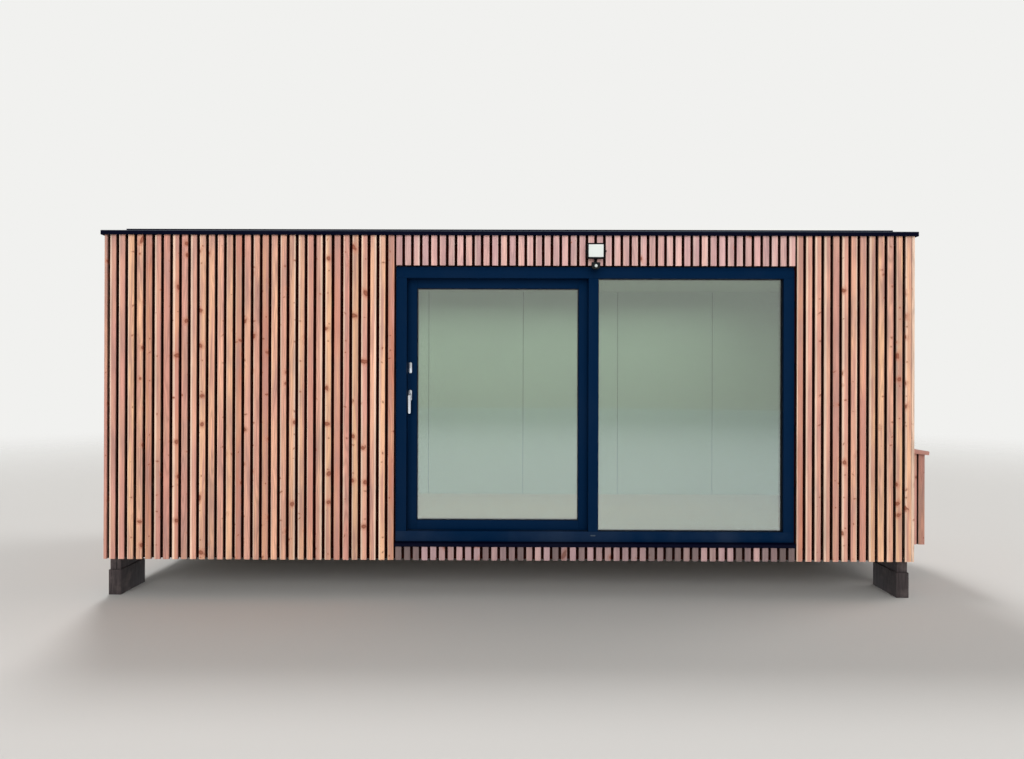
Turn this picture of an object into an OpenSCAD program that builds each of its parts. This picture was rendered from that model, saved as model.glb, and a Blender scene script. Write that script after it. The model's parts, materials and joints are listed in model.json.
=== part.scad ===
// Shipping container cabin: a timber-clad steel-framed room with a sliding glass door.
// X runs along the cabin, the front faces -Y, Z is up and the ground is at zero.
// All sizes are in millimetres.

/* [Cabin shell] */
// Length of the steel frame, without the cladding
body_l = 5970; // [5400:10:6600]
// Width of the steel frame, without the cladding
body_w = 2390; // [2200:10:2600]
// Thickness of the insulated walls and width of the rails and posts
wall_t = 120; // [100:5:140]
// Height of the posts between the base rails and the roof rails
wall_h = 2155; // [2120:5:2400]
// Height of the base rails
base_rail_h = 135; // [115:5:180]
// Height of the roof rails
roof_rail_h = 175; // [150:5:220]
// Steel thickness of rails, posts and cross members
steel_t = 6; // [4:1:8]
// Thickness of the floor deck
floor_panel_t = 30; // [20:1:40]
// Thickness of the floor covering
floor_cover_t = 15; // [8:1:20]
// Width of the lining panels inside the walls
lining_w = 1000; // [600:10:1250]
// Width of the seam between two lining panels
seam_w = 6; // [3:1:12]
// Depth of the seam between two lining panels
seam_d = 4; // [2:1:8]
// Number of cross members under the floor deck
cross_count = 7; // [4:1:10]
// Width of one cross member
cross_w = 60; // [40:5:80]

/* [Supports] */
// Height of the lower support blocks
block_h = 190; // [100:5:250]
// Width of a support block along the cabin
block_w = 95; // [80:5:140]
// Length of a support block across the cabin
block_l = 370; // [250:10:500]
// Distance that a block stands out beyond the end of the frame
block_out_x = 35; // [0:5:45]
// Distance that a block stands out beyond the front of the frame
block_out_y = 15; // [0:5:45]
// Height of the timber packers on the blocks
packer_h = 90; // [60:5:140]
// Distance that a packer is set in from the edges of its block
packer_inset = 8; // [0:1:15]

/* [Cladding] */
// Thickness of the membrane on the outside of the walls
membrane_t = 2; // [1:0.5:4]
// Thickness of the horizontal battens
batten_t = 30; // [20:1:35]
// Height of the horizontal battens
batten_w = 45; // [35:1:60]
// Number of batten rows up a wall
batten_rows = 6; // [4:1:8]
// Distance of the lowest batten above the bottom of the slats
batten_first = 35; // [20:5:50]
// Thickness of the slats
slat_t = 22; // [20:1:35]
// Width of the slats
slat_w = 44; // [40:1:55]
// Width of the eased front edges of the slats
slat_ease = 2; // [1:0.5:4]
// Aimed distance from one slat to the next on the walls
slat_pitch = 67; // [62:1:80]
// Aimed distance from one slat to the next over and under the door
door_slat_pitch = 65.3; // [62:0.1:80]
// Gap between a corner slat and the first slat round the corner
corner_gap = 21; // [2:1:25]
// Gap between the last slat on the right of the front and the corner slat
right_corner_gap = 2; // [1:1:25]
// Gap between each side of the door frame and the slats beside it
door_reveal = 10; // [2:1:20]
// Height of the slats that the trim covers
slat_cover = 20; // [5:1:24]

/* [Roof] */
// Thickness of the insulated roof panel
roof_panel_t = 160; // [130:5:170]
// Height of the ribs of the roof sheet
rib_h = 25; // [15:1:35]
// Distance from one rib of the roof sheet to the next
rib_pitch = 207; // [150:1:250]
// Width of the top of a rib
rib_top_w = 40; // [30:1:60]
// Width of the foot of a rib
rib_foot_w = 90; // [70:1:120]
// Thickness of the roof sheet
sheet_t = 3; // [2:0.5:5]
// Thickness of the folded metal trim round the roof edge
trim_t = 3; // [2:0.5:5]
// Height of the face of the trim
trim_face_h = 34; // [27:1:60]
// Distance that the trim stands out beyond the slats
trim_out = 20; // [10:1:40]
// Height of the kerb that stands on the trim
kerb_h = 27; // [15:1:60]
// Width of the kerb
kerb_w = 45; // [30:1:55]
// Distance of the kerb from the front and back of the frame
kerb_inset_y = 15; // [0:1:40]
// Distance of the kerb from the ends of the frame
kerb_inset_x = 75; // [40:1:75]

/* [Sliding door] */
// Distance from the left end of the frame to the door frame
door_left = 2136; // [1800:1:2400]
// Width of the door frame
door_w = 3000; // [2600:10:3100]
// Height of the door frame
door_h = 2072; // [1900:1:2100]
// Visible width of the jambs
jamb_w = 80; // [70:1:110]
// Visible height of the head
head_h = 86; // [70:1:110]
// Height of the set-back band along the top of the head
head_step_h = 26; // [12:1:30]
// Depth of the set-back band along the top of the head
head_step_d = 8; // [3:1:10]
// Visible height of the threshold
threshold_h = 77; // [60:1:90]
// Height of the folded sill below the threshold
flashing_h = 32; // [20:1:40]
// Distance that the folded sill stands out beyond the slats
flashing_out = 12; // [4:1:16]
// Fall of the folded sill from the door frame to its front edge
flashing_fall = 7; // [3:1:12]
// Depth by which the folded sill reaches under the door frame
flashing_tuck = 20; // [10:1:40]
// Gap between the folded sill and the slats under it
flashing_gap = 3; // [1:1:8]
// Width of the mullion between the sash and the fixed glass
mullion_w = 74; // [60:1:100]
// Distance from the left edge of the door frame to the mullion
mullion_left = 1452; // [1300:1:1500]
// Distance of the face of the door frame behind the face of the slats
frame_recess = 30; // [29:1:40]
// Depth of the outer part of the frame, which hides the edges of the sash
frame_lip = 70; // [60:1:80]
// Gap between the door frame and the wall round it
fitting_gap = 5; // [2:1:10]
// Thickness of the double glazing
glass_t = 24; // [20:1:28]
// Distance of the fixed glass behind the face of its frame
glass_recess = 35; // [25:1:35]
// Depth by which glass sits in its frame
glass_bite = 15; // [10:1:18]
// Gap between the edge of the glass and the bottom of its groove
glass_play = 5; // [2:1:8]
// Visible width of the gaskets round the glass
gasket_w = 4; // [4:1:9]
// Thickness of the gaskets round the glass
gasket_t = 4; // [3:0.5:6]
// Width of the sash profiles
sash_profile_w = 94; // [85:1:110]
// Thickness of the sash
sash_t = 60; // [50:1:60]
// Distance by which the frame covers the edges of the sash
sash_cover = 25; // [15:1:30]
// Running clearance round the sash
sash_gap = 5; // [5:1:8]
// Width of the running track and of the head guide
track_w = 8; // [6:1:10]
// Clearance on each side of the track in its groove
track_play = 3; // [1:0.5:4]
// Height by which track and guide reach into the sash
track_reach = 8; // [6:1:12]
// Clearance between the sash and the top of its track
track_gap = 0.3; // [0.2:0.1:1]

/* [Door handle and lock] */
// Height of the handle's axis above the ground
handle_z = 1515; // [1200:1:1650]
// Distance from the left edge of the door frame to the handle and the lock
handle_left = 99; // [97:1:101]
// Length of the lever from its axis to its tip
lever_l = 139; // [110:1:180]
// Width of the lever at its axis
lever_w = 21; // [20:1:24]
// Width of the lever at its tip
lever_tip_w = 18; // [12:1:20]
// Thickness of the lever
lever_t = 12; // [8:1:16]
// Distance from the rosette to the back of the lever
lever_standoff = 34; // [30:1:38]
// Radius of the neck of the handle
neck_r = 9; // [8:0.5:10]
// Width of the rosettes and lock plates
plate_w = 24; // [22:1:26]
// Radius of the corners of the rosettes and lock plates
plate_r = 8; // [3:1:11]
// Thickness of the rosettes and lock plates
plate_t = 8; // [5:1:10]
// Height of a handle rosette
rosette_h = 78; // [60:1:90]
// Height of a lock plate
lock_plate_h = 80; // [60:1:110]
// Height of the middle of the lock plate above the handle's axis
lock_above = 209; // [180:1:240]
// Radius of the lock cylinder
lock_cylinder_r = 8.5; // [7:0.5:10]
// Distance that the lock cylinder stands out of its plate
lock_cylinder_out = 4; // [2:1:6]
// Clearance of the neck in the rosette and of the spindle in the sash
neck_gap = 0.4; // [0.3:0.1:1]
// Width across the flats of the square spindle
spindle_w = 8; // [6:1:10]
// Radius of the bend between the neck and the grip of the lever
lever_fillet = 5; // [3:1:8]

/* [Floodlight] */
// Width of the floodlight
lamp_w = 130; // [110:1:150]
// Height of the floodlight
lamp_h = 114; // [95:1:125]
// Thickness of the floodlight without its fins
lamp_t = 34; // [26:1:40]
// Radius of the corners of the floodlight
lamp_r = 6; // [3:1:12]
// Height of the middle of the floodlight above the top of the door frame
lamp_above = 104; // [102:1:110]
// Distance of the floodlight to the left of the middle of the door frame
lamp_left = 5; // [0:1:20]
// Distance from the slats to the hinge of the floodlight
lamp_reach = 62; // [60:1:80]
// Width of the rim round the light panel
lamp_rim = 10; // [6:1:14]
// Depth of the light panel in the floodlight
panel_t = 4; // [3:1:8]
// Distance of the light panel behind the rim
panel_inset = 1; // [0.5:0.5:2]
// Thickness of the cooling fins
fin_t = 3; // [2:0.5:4]
// Depth of the cooling fins
fin_d = 8; // [5:1:10]
// Aimed distance from one cooling fin to the next
fin_pitch = 12; // [9:1:20]
// Thickness of the bracket's sheet metal
yoke_t = 4; // [3:0.5:5]
// Height of the bracket's arms
yoke_h = 20; // [14:1:26]
// Gap between the floodlight and the bracket's arms
yoke_gap = 3; // [2:0.5:6]
// Radius of the hinge pins of the floodlight
hinge_r = 4; // [3:0.5:5]
// Depth of the hinge pins in the floodlight
hinge_bite = 8; // [5:1:10]
// Clearance of the pins in their holes
pin_gap = 0.3; // [0.2:0.05:0.5]
// Radius of the knobs on the hinge pins
knob_r = 8; // [6:1:10]
// Thickness of the knobs on the hinge pins
knob_t = 6; // [4:1:8]
// Width of the motion sensor housing
sensor_w = 62; // [50:1:80]
// Height of the motion sensor housing
sensor_h = 48; // [40:1:54]
// Depth of the motion sensor housing
sensor_d = 44; // [36:1:50]
// Size of the sloped lower corners of the sensor housing
sensor_slope = 12; // [6:1:16]
// Radius of the sensor's ball lens
lens_r = 12; // [9:0.5:14]
// Height of the lens below the middle of the sensor housing
lens_drop = 3; // [0:0.5:5]
// Width of the arm that carries the sensor
arm_w = 14; // [10:1:20]
// Gap between the floodlight and the sensor housing below it
sensor_drop = 29; // [27:1:35]
// Gap between the sensor housing and the arm above it
sensor_gap = 5; // [5:1:8]
// Radius of the pin on which the sensor turns
sensor_pin_r = 4; // [3:0.5:5]
// Depth of the pin in the sensor housing
sensor_pin_l = 10; // [6:1:14]

/* [Utility box] */
// Distance from the face of the front slats to the front of the utility box
box_from_front = 610; // [400:10:900]
// Width of the utility box along the end wall
box_w = 950; // [700:10:1200]
// Distance that the utility box reaches out from the slats of the end wall
box_reach = 410; // [300:10:500]
// Height of the top of the lid above the ground, at its outer edge
box_lid_z = 1053; // [800:1:1200]
// Slope of the lid in degrees
lid_slope = 6.9; // [3:0.1:10]
// Thickness of the lid
lid_t = 32; // [20:1:40]
// Distance that the lid overhangs the slats
lid_out = 26; // [10:1:40]
// Width of the corner posts of the box
box_post_w = 45; // [35:1:60]
// Height of the rails between the posts of the box
box_rail_h = 45; // [30:5:70]
// Thickness of the rails between the posts of the box
box_rail_t = 25; // [18:1:35]
// Distance of the rails from the top and the bottom of the box
box_rail_end = 60; // [20:5:120]
// Width of the slats of the box
box_slat_w = 50; // [40:1:60]
// Distance from one slat of the box to the next
box_slat_pitch = 66; // [62:1:80]

/* [Hidden] */
$fn = 48;
// Small overlap of a cutting body with what it cuts
cut = 1;
// Gap between like pieces that meet end to end
joint_gap = 0.3;

// Plan half sizes of the frame and of the cladding
hx = body_l / 2;
hy = body_w / 2;
clad_t = membrane_t + batten_t + slat_t;
cx = hx + clad_t;
cy = hy + clad_t;
inner_x = hx - wall_t;
inner_y = hy - wall_t;

// Heights
under_z = block_h + packer_h;
base_top = under_z + base_rail_h;
floor_z = base_top + floor_cover_t;
ceiling_z = base_top + wall_h;
roof_top = ceiling_z + roof_rail_h;
trim_top = roof_top + trim_t;
trim_bottom = trim_top - trim_face_h;
slat_top = trim_bottom + slat_cover;
deck_top = ceiling_z + roof_panel_t;

// Door frame
door_x0 = -hx + door_left;
door_x1 = door_x0 + door_w;
door_z0 = base_top;
door_z1 = door_z0 + door_h;
frame_y = -cy + frame_recess;
lip_y = frame_y + frame_lip;
frame_back_y = -inner_y;
opening_z0 = door_z0 + threshold_h;
opening_z1 = door_z1 - head_h;
mullion_x0 = door_x0 + mullion_left;
mullion_x1 = mullion_x0 + mullion_w;
fixed_x1 = door_x1 - jamb_w;
glass_y = frame_y + glass_recess;
bead_y = glass_y + glass_t;

// Sash, at rest against the left jamb
sash_y = lip_y + sash_gap;
sash_x0 = door_x0 + jamb_w - sash_cover;
sash_x1 = mullion_x0 + sash_cover;
sash_z0 = opening_z0 - sash_cover;
sash_z1 = opening_z1 + sash_cover;
sash_glass_y = sash_y + (sash_t - glass_t) / 2;
track_y = sash_y + sash_t / 2;
groove_w = track_w + 2 * track_play;
flashing_low = door_z0 - flashing_h;
handle_x = door_x0 + handle_left;
spindle_hole_r = spindle_w / sqrt(2) + neck_gap;

// Floodlight
lamp_x = (door_x0 + door_x1) / 2 - lamp_left;
lamp_z = door_z1 + lamp_above;
hinge_y = -cy - lamp_reach;
lamp_back_y = hinge_y + lamp_t / 2;
lamp_front_y = hinge_y - lamp_t / 2;
sensor_top = lamp_z - lamp_h / 2 - sensor_drop;
sensor_y = hinge_y;
lens_front_y = sensor_y - sensor_d / 2 - lens_r;
lens_z = sensor_top - sensor_h / 2 - lens_drop;

// Utility box
box_y0 = -cy + box_from_front;
box_y1 = box_y0 + box_w;
box_x1 = cx + box_reach;
lid_x1 = box_x1 + lid_out;
lid_rise = (lid_x1 - cx) * tan(lid_slope);
lid_low_z = box_lid_z - lid_t / cos(lid_slope);
box_top = box_lid_z + lid_rise;

// Middle of the outline of the whole cabin, where the origin lies
front_y = min(-cy - trim_out, lamp_front_y, lens_front_y);
back_y = cy + trim_out;
centre_x = (lid_x1 - cx - trim_out) / 2;
centre_y = (front_y + back_y) / 2;

STEEL = "dimgray";
TRIM = "#16181f";
TIMBER = "#c58a63";
ANTHRACITE = "#262d38";
GLASS = [0.6, 0.7, 0.7, 0.4];
PANEL = "#d9d9d4";
ALUMINIUM = "#d5d8da";
BLACK = "#17181b";
DARK_TIMBER = "#3a2a22";

// Moves a piece from the middle of the frame to the origin of the part
module place() {
    translate([-centre_x, -centre_y, 0]) children();
}

// Box from its lowest corner to its highest corner
module block(low, high) {
    translate(low) cube(high - low);
}

// The same piece at the left and the right end
module both_ends() {
    children();
    mirror([1, 0, 0]) children();
}

// The same piece at the front and the back
module both_sides() {
    children();
    mirror([0, 1, 0]) children();
}

// Piece with an outline in Y and Z, from x0 to x1
module along_x(x0, x1) {
    translate([x0, 0, 0])
        rotate([90, 0, 90])
            linear_extrude(x1 - x0) children();
}

// Piece with an outline in X and Z, from y0 to y1
module along_y(y0, y1) {
    translate([0, y1, 0])
        rotate([90, 0, 0])
            linear_extrude(y1 - y0) children();
}

module support_blocks() {
    color("#4d4a46")
        place() both_ends() both_sides()
            block([hx + block_out_x - block_w, hy + block_out_y - block_l, 0],
                  [hx + block_out_x, hy + block_out_y, block_h]);
}

module timber_packers() {
    color("#5a4a3c")
        place() both_ends() both_sides()
            block([hx + block_out_x - block_w + packer_inset,
                   hy + block_out_y - block_l + packer_inset, block_h],
                  [hx + block_out_x - packer_inset, hy + block_out_y - packer_inset, under_z]);
}

// Square tube posts in the four corners
module corner_posts() {
    color(STEEL)
        place() both_ends() both_sides()
            difference() {
                block([inner_x, inner_y, under_z], [hx, hy, roof_top]);
                block([inner_x + steel_t, inner_y + steel_t, under_z - cut],
                      [hx - steel_t, hy - steel_t, roof_top + cut]);
            }
}

// Channel outline, with its back at 0 and its flanges towards -u
module channel_outline(z0, z1) {
    difference() {
        translate([-wall_t, z0]) square([wall_t, z1 - z0]);
        translate([-wall_t - cut, z0 + steel_t]) square([wall_t - steel_t + cut, z1 - z0 - 2 * steel_t]);
    }
}

// Ring of four channels between the corner posts
module channel_ring(z0, z1) {
    both_sides()
        along_x(-inner_x, inner_x)
            translate([hy, 0]) channel_outline(z0, z1);
    both_ends()
        along_y(-inner_y, inner_y)
            translate([hx, 0]) channel_outline(z0, z1);
}

module base_rails() {
    color(STEEL) place() channel_ring(under_z, base_top);
}

module roof_rails() {
    color(STEEL) place() channel_ring(ceiling_z, roof_top);
}

// Channels across the frame, which carry the floor deck
module cross_members() {
    deck_z = base_top - floor_panel_t;
    spacing = 2 * inner_x / (cross_count + 1);
    color(STEEL)
        place()
            for (i = [1:cross_count])
                translate([-inner_x + i * spacing, 0, 0])
                    along_y(-inner_y, inner_y)
                        difference() {
                            translate([-cross_w / 2, under_z]) square([cross_w, deck_z - under_z]);
                            translate([-cross_w / 2 + steel_t, under_z + steel_t])
                                square([cross_w, deck_z - under_z - 2 * steel_t]);
                        }
}

module floor_panel() {
    color("#b79f78")
        place()
            block([-inner_x, -inner_y, base_top - floor_panel_t], [inner_x, inner_y, base_top]);
}

module floor_covering() {
    color("#9a8263")
        place() block([-inner_x, -inner_y, base_top], [inner_x, inner_y, floor_z]);
}

module roof_panel() {
    color(PANEL)
        place() block([-inner_x, -inner_y, ceiling_z], [inner_x, inner_y, deck_top]);
}

// Outline of the ribbed roof sheet, seen along the ribs
module sheet_outline() {
    count = floor((2 * inner_x - rib_foot_w) / rib_pitch);
    first = -count * rib_pitch / 2;
    function rib(x, rise) = [
        [x - rib_foot_w / 2, rise],
        [x - rib_top_w / 2, rib_h + rise],
        [x + rib_top_w / 2, rib_h + rise],
        [x + rib_foot_w / 2, rise]
    ];
    top = [for (i = [0:count]) each rib(first + i * rib_pitch, sheet_t)];
    bottom = [for (i = [count:-1:0]) each [for (p = [3:-1:0]) rib(first + i * rib_pitch, 0)[p]]];
    polygon(concat([[-inner_x, 0], [-inner_x, sheet_t]], top,
                   [[inner_x, sheet_t], [inner_x, 0]], bottom));
}

module roof_sheet() {
    color(TRIM)
        place()
            translate([0, 0, deck_top])
                along_y(-inner_y, inner_y) sheet_outline();
}

// Raised kerb on top of the trim
module roof_kerb() {
    kerb_x = hx - kerb_inset_x;
    kerb_y = hy - kerb_inset_y;
    color(TRIM)
        place() {
            both_sides()
                block([-kerb_x, kerb_y - kerb_w, trim_top], [kerb_x, kerb_y, trim_top + kerb_h]);
            both_ends()
                block([kerb_x - kerb_w, -kerb_y + kerb_w + joint_gap, trim_top],
                      [kerb_x, kerb_y - kerb_w - joint_gap, trim_top + kerb_h]);
        }
}

// Outline of the folded trim on an edge whose frame face is at u = 0
module trim_outline() {
    reach = clad_t + trim_out;
    translate([-wall_t, roof_top]) square([reach + wall_t, trim_t]);
    translate([reach - trim_t, trim_bottom]) square([trim_t, trim_face_h]);
}

// Prism beside the mitre line of a corner: 1 is its end side, -1 its front side
module mitre_cut(side, gap) {
    far = 2 * wall_t + clad_t + trim_out;
    translate([hx, hy, trim_bottom - cut])
        linear_extrude(trim_face_h + 2 * cut)
            polygon([[-far, -far + gap], [far, far + gap], [side * far, -side * far]]);
}

module roof_trim() {
    end = cx + trim_out;
    side = cy + trim_out;
    color(TRIM)
        place() {
            both_sides()
                difference() {
                    along_x(-end, end) translate([hy, 0]) trim_outline();
                    both_ends() mitre_cut(1, joint_gap);
                }
            both_ends()
                difference() {
                    along_y(-side, side) translate([hx, 0]) trim_outline();
                    both_sides() mitre_cut(-1, 0);
                }
        }
}

// Seams between the lining panels of a long wall from x0 to x1, on its inner face at y
module lining_seams(x0, x1, y) {
    for (x = [-inner_x + lining_w:lining_w:inner_x])
        if (x - seam_w > x0 && x + seam_w < x1)
            block([x - seam_w / 2, y - seam_d, base_top - cut],
                  [x + seam_w / 2, y + seam_d, ceiling_z + cut]);
}

module front_wall(x0, x1, z0) {
    color(PANEL)
        place()
            difference() {
                block([x0, -hy, z0], [x1, -inner_y, ceiling_z]);
                lining_seams(x0, x1, -inner_y);
            }
}

module front_wall_left() {
    front_wall(-inner_x, door_x0 - fitting_gap, base_top);
}

module front_wall_right() {
    front_wall(door_x1 + fitting_gap, inner_x, base_top);
}

module front_wall_header() {
    front_wall(door_x0 - fitting_gap, door_x1 + fitting_gap, door_z1 + fitting_gap);
}

module back_wall() {
    color(PANEL)
        place()
            difference() {
                block([-inner_x, inner_y, base_top], [inner_x, hy, ceiling_z]);
                lining_seams(-inner_x, inner_x, inner_y);
            }
}

// Wall of the right end, with seams at the same distance from the back
module end_wall() {
    difference() {
        block([inner_x, -inner_y, base_top], [hx, inner_y, ceiling_z]);
        for (y = [inner_y - lining_w:-lining_w:-inner_y + seam_w])
            block([inner_x - cut, y - seam_w / 2, base_top - cut],
                  [inner_x + seam_d, y + seam_w / 2, ceiling_z + cut]);
    }
}

module right_wall() {
    color(PANEL) place() end_wall();
}

module left_wall() {
    color(PANEL) place() mirror([1, 0, 0]) end_wall();
}

// Dark membrane on the outside of the walls, open where the door is
module wall_membrane() {
    color(BLACK)
        place() {
            difference() {
                block([-hx, -hy - membrane_t, under_z], [hx, -hy, roof_top]);
                block([door_x0 - fitting_gap, -hy - membrane_t - cut, door_z0],
                      [door_x1 + fitting_gap, -hy + cut, door_z1 + fitting_gap]);
            }
            block([-hx, hy, under_z], [hx, hy + membrane_t, roof_top]);
            both_ends()
                block([hx, -hy, under_z], [hx + membrane_t, hy, roof_top]);
        }
}

// Heights of the batten rows, from the lowest to the highest
function batten_z(row) =
    under_z + batten_first
    + row * (slat_top - under_z - 2 * batten_first - batten_w) / (batten_rows - 1);

// One horizontal batten on the front of the frame
module front_batten(x0, x1, z) {
    block([x0, -hy - membrane_t - batten_t, z], [x1, -hy - membrane_t, z + batten_w]);
}

module battens() {
    last = batten_rows - 1;
    end_half = hy + membrane_t + batten_t;
    color(DARK_TIMBER)
        place() {
            front_batten(-hx, hx, batten_z(0));
            front_batten(-hx, hx, batten_z(last));
            front_batten(door_x0, door_x1, door_z1 + 2 * fitting_gap);
            for (row = [1:last - 1]) {
                front_batten(-hx, door_x0 - fitting_gap, batten_z(row));
                front_batten(door_x1 + fitting_gap, hx, batten_z(row));
            }
            for (row = [0:last]) {
                mirror([0, 1, 0]) front_batten(-hx, hx, batten_z(row));
                both_ends()
                    block([hx + membrane_t, -end_half, batten_z(row)],
                          [hx + membrane_t + batten_t, end_half, batten_z(row) + batten_w]);
            }
        }
}

// Plan of a slat whose front is at 0, with eased front edges
module slat_outline(width) {
    polygon([[0, slat_ease], [slat_ease, 0], [width - slat_ease, 0], [width, slat_ease],
             [width, slat_t], [0, slat_t]]);
}

// Upright slats from x0 to x1, with their fronts at y
module slat_row(x0, x1, y, z0, z1, pitch) {
    count = max(1, round((x1 - x0 - slat_w) / pitch));
    step = (x1 - x0 - slat_w) / count;
    for (i = [0:count])
        translate([x0 + i * step, y, z0])
            linear_extrude(z1 - z0) slat_outline(slat_w);
}

// Row of slats on the front of the cladding
module front_slats(x0, x1, z0, z1, pitch) {
    color(TIMBER) place() slat_row(x0, x1, -cy, z0, z1, pitch);
}

module slats_front_left() {
    front_slats(-cx + slat_t + corner_gap, door_x0 - door_reveal,
                under_z, slat_top, slat_pitch);
}

module slats_front_right() {
    front_slats(door_x1 + door_reveal, cx - slat_t - right_corner_gap,
                under_z, slat_top, slat_pitch);
}

module slats_over_door() {
    front_slats(door_x0 + fitting_gap, door_x1 - fitting_gap,
                door_z1 + fitting_gap, slat_top, door_slat_pitch);
}

module slats_under_door() {
    front_slats(door_x0 + fitting_gap, door_x1 - fitting_gap,
                under_z, flashing_low - flashing_gap, door_slat_pitch);
}

module slats_back() {
    start = cx - slat_t - corner_gap;
    color(TIMBER)
        place()
            mirror([0, 1, 0])
                slat_row(-start, start, -cy, under_z, slat_top, slat_pitch);
}

// Slats of the right end, from corner to corner
module end_slats() {
    rotate([0, 0, 90])
        slat_row(-cy, cy, -cx, under_z, slat_top, slat_pitch);
}

module slats_right() {
    color(TIMBER) place() end_slats();
}

module slats_left() {
    color(TIMBER) place() mirror([1, 0, 0]) end_slats();
}

// Space of the fixed glass in its frame, with play at its edges
module fixed_glass_cut() {
    deep = glass_bite + glass_play;
    block([mullion_x1 - deep, glass_y, opening_z0 - deep],
          [fixed_x1 + deep, lip_y + cut, opening_z1 + deep]);
}

// Box of the opening of the frame behind its outer lip, in which the sash runs
module sash_run_cut() {
    deep = sash_cover + sash_gap;
    block([door_x0 + jamb_w - deep, lip_y, opening_z0 - deep],
          [door_x1 - jamb_w + deep, frame_back_y + cut, opening_z1 + deep]);
}

// Jambs of the door frame, rebated for the glass and the sash
module door_jambs() {
    color(ANTHRACITE)
        place()
            difference() {
                for (x = [door_x0, door_x1 - jamb_w])
                    block([x, frame_y, opening_z0], [x + jamb_w, frame_back_y, opening_z1]);
                fixed_glass_cut();
                sash_run_cut();
            }
}

module door_head() {
    color(ANTHRACITE)
        place() {
            difference() {
                block([door_x0, frame_y, opening_z1], [door_x1, frame_back_y, door_z1]);
                block([door_x0 - cut, frame_y - cut, door_z1 - head_step_h],
                      [door_x1 + cut, frame_y + head_step_d, door_z1 + cut]);
                fixed_glass_cut();
                sash_run_cut();
            }
            block([door_x0 + jamb_w, track_y - track_w / 2, sash_z1 - track_reach],
                  [door_x1 - jamb_w, track_y + track_w / 2, sash_z1 + sash_gap + cut]);
        }
}

module door_threshold() {
    color(ANTHRACITE)
        place() {
            difference() {
                block([door_x0, frame_y, door_z0], [door_x1, frame_back_y, opening_z0]);
                fixed_glass_cut();
                sash_run_cut();
            }
            block([door_x0 + jamb_w, track_y - track_w / 2, sash_z0 - sash_gap - cut],
                  [door_x1 - jamb_w, track_y + track_w / 2, sash_z0 + track_reach]);
        }
}

module door_mullion() {
    color(ANTHRACITE)
        place()
            difference() {
                block([mullion_x0, frame_y, opening_z0], [mullion_x1, lip_y, opening_z1]);
                fixed_glass_cut();
            }
}

// Beads that hold the fixed glass from inside
module glazing_beads() {
    deep = glass_bite + glass_play;
    x0 = mullion_x1 - deep;
    x1 = fixed_x1 + deep;
    z0 = opening_z0 - deep;
    z1 = opening_z1 + deep;
    color(ANTHRACITE)
        place() {
            for (x = [x0, x1 - deep])
                block([x, bead_y, z0], [x + deep, lip_y, z1]);
            for (z = [z0, z1 - deep])
                block([x0 + deep + joint_gap, bead_y, z],
                      [x1 - deep - joint_gap, lip_y, z + deep]);
        }
}

// Ring along the edge of a pane, from its face at y to y + depth
module gasket_ring(x0, x1, z0, z1, y, depth) {
    difference() {
        block([x0, y, z0], [x1, y + depth, z1]);
        block([x0 + gasket_w, y - cut, z0 + gasket_w], [x1 - gasket_w, y + depth + cut, z1 - gasket_w]);
    }
}

// Gaskets on both faces of the fixed glass
module glass_gaskets() {
    color(BLACK)
        place()
            for (y = [glass_y - gasket_t, bead_y])
                gasket_ring(mullion_x1, fixed_x1, opening_z0, opening_z1, y, gasket_t);
}

module fixed_glass() {
    color(GLASS)
        place()
            block([mullion_x1 - glass_bite, glass_y, opening_z0 - glass_bite],
                  [fixed_x1 + glass_bite, bead_y, opening_z1 + glass_bite]);
}

// Folded sill that sheds water in front of the threshold
module sill_flashing() {
    nose_y = -cy - flashing_out;
    nose_z = door_z0 - flashing_fall;
    color(ANTHRACITE)
        place()
            along_x(door_x0, door_x1)
                polygon([
                    [frame_y + flashing_tuck, door_z0],
                    [frame_y + flashing_tuck, door_z0 - trim_t],
                    [nose_y + trim_t, nose_z - trim_t],
                    [nose_y + trim_t, flashing_low],
                    [nose_y, flashing_low],
                    [nose_y, nose_z],
                    [frame_y, door_z0]
                ]);
}

// Groove for the glass all round the sash
module sash_glass_cut() {
    deep = glass_bite + glass_play;
    block([sash_x0 + sash_profile_w - deep, sash_glass_y, sash_z0 + sash_profile_w - deep],
          [sash_x1 - sash_profile_w + deep, sash_glass_y + glass_t, sash_z1 - sash_profile_w + deep]);
}

// Grooves along the bottom and the top of the sash for the track and the guide
module sash_track_cut() {
    block([sash_x0 - cut, track_y - groove_w / 2, sash_z0 - cut],
          [sash_x1 + cut, track_y + groove_w / 2, sash_z0 + track_reach + track_gap]);
    block([sash_x0 - cut, track_y - groove_w / 2, sash_z1 - track_reach - sash_gap],
          [sash_x1 + cut, track_y + groove_w / 2, sash_z1 + cut]);
}

module sash_stiles() {
    color(ANTHRACITE)
        place()
            difference() {
                for (x = [sash_x0, sash_x1 - sash_profile_w])
                    block([x, sash_y, sash_z0], [x + sash_profile_w, sash_y + sash_t, sash_z1]);
                sash_glass_cut();
                sash_track_cut();
                along_y(sash_y - cut, sash_y + sash_t + cut)
                    translate([handle_x, handle_z]) circle(r = spindle_hole_r);
            }
}

module sash_rails() {
    color(ANTHRACITE)
        place()
            difference() {
                for (z = [sash_z0, sash_z1 - sash_profile_w])
                    block([sash_x0 + sash_profile_w, sash_y, z],
                          [sash_x1 - sash_profile_w, sash_y + sash_t, z + sash_profile_w]);
                sash_glass_cut();
                sash_track_cut();
            }
}

module sash_glass() {
    edge = sash_profile_w - glass_bite;
    color(GLASS)
        place()
            block([sash_x0 + edge, sash_glass_y, sash_z0 + edge],
                  [sash_x1 - edge, sash_glass_y + glass_t, sash_z1 - edge]);
}

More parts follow.
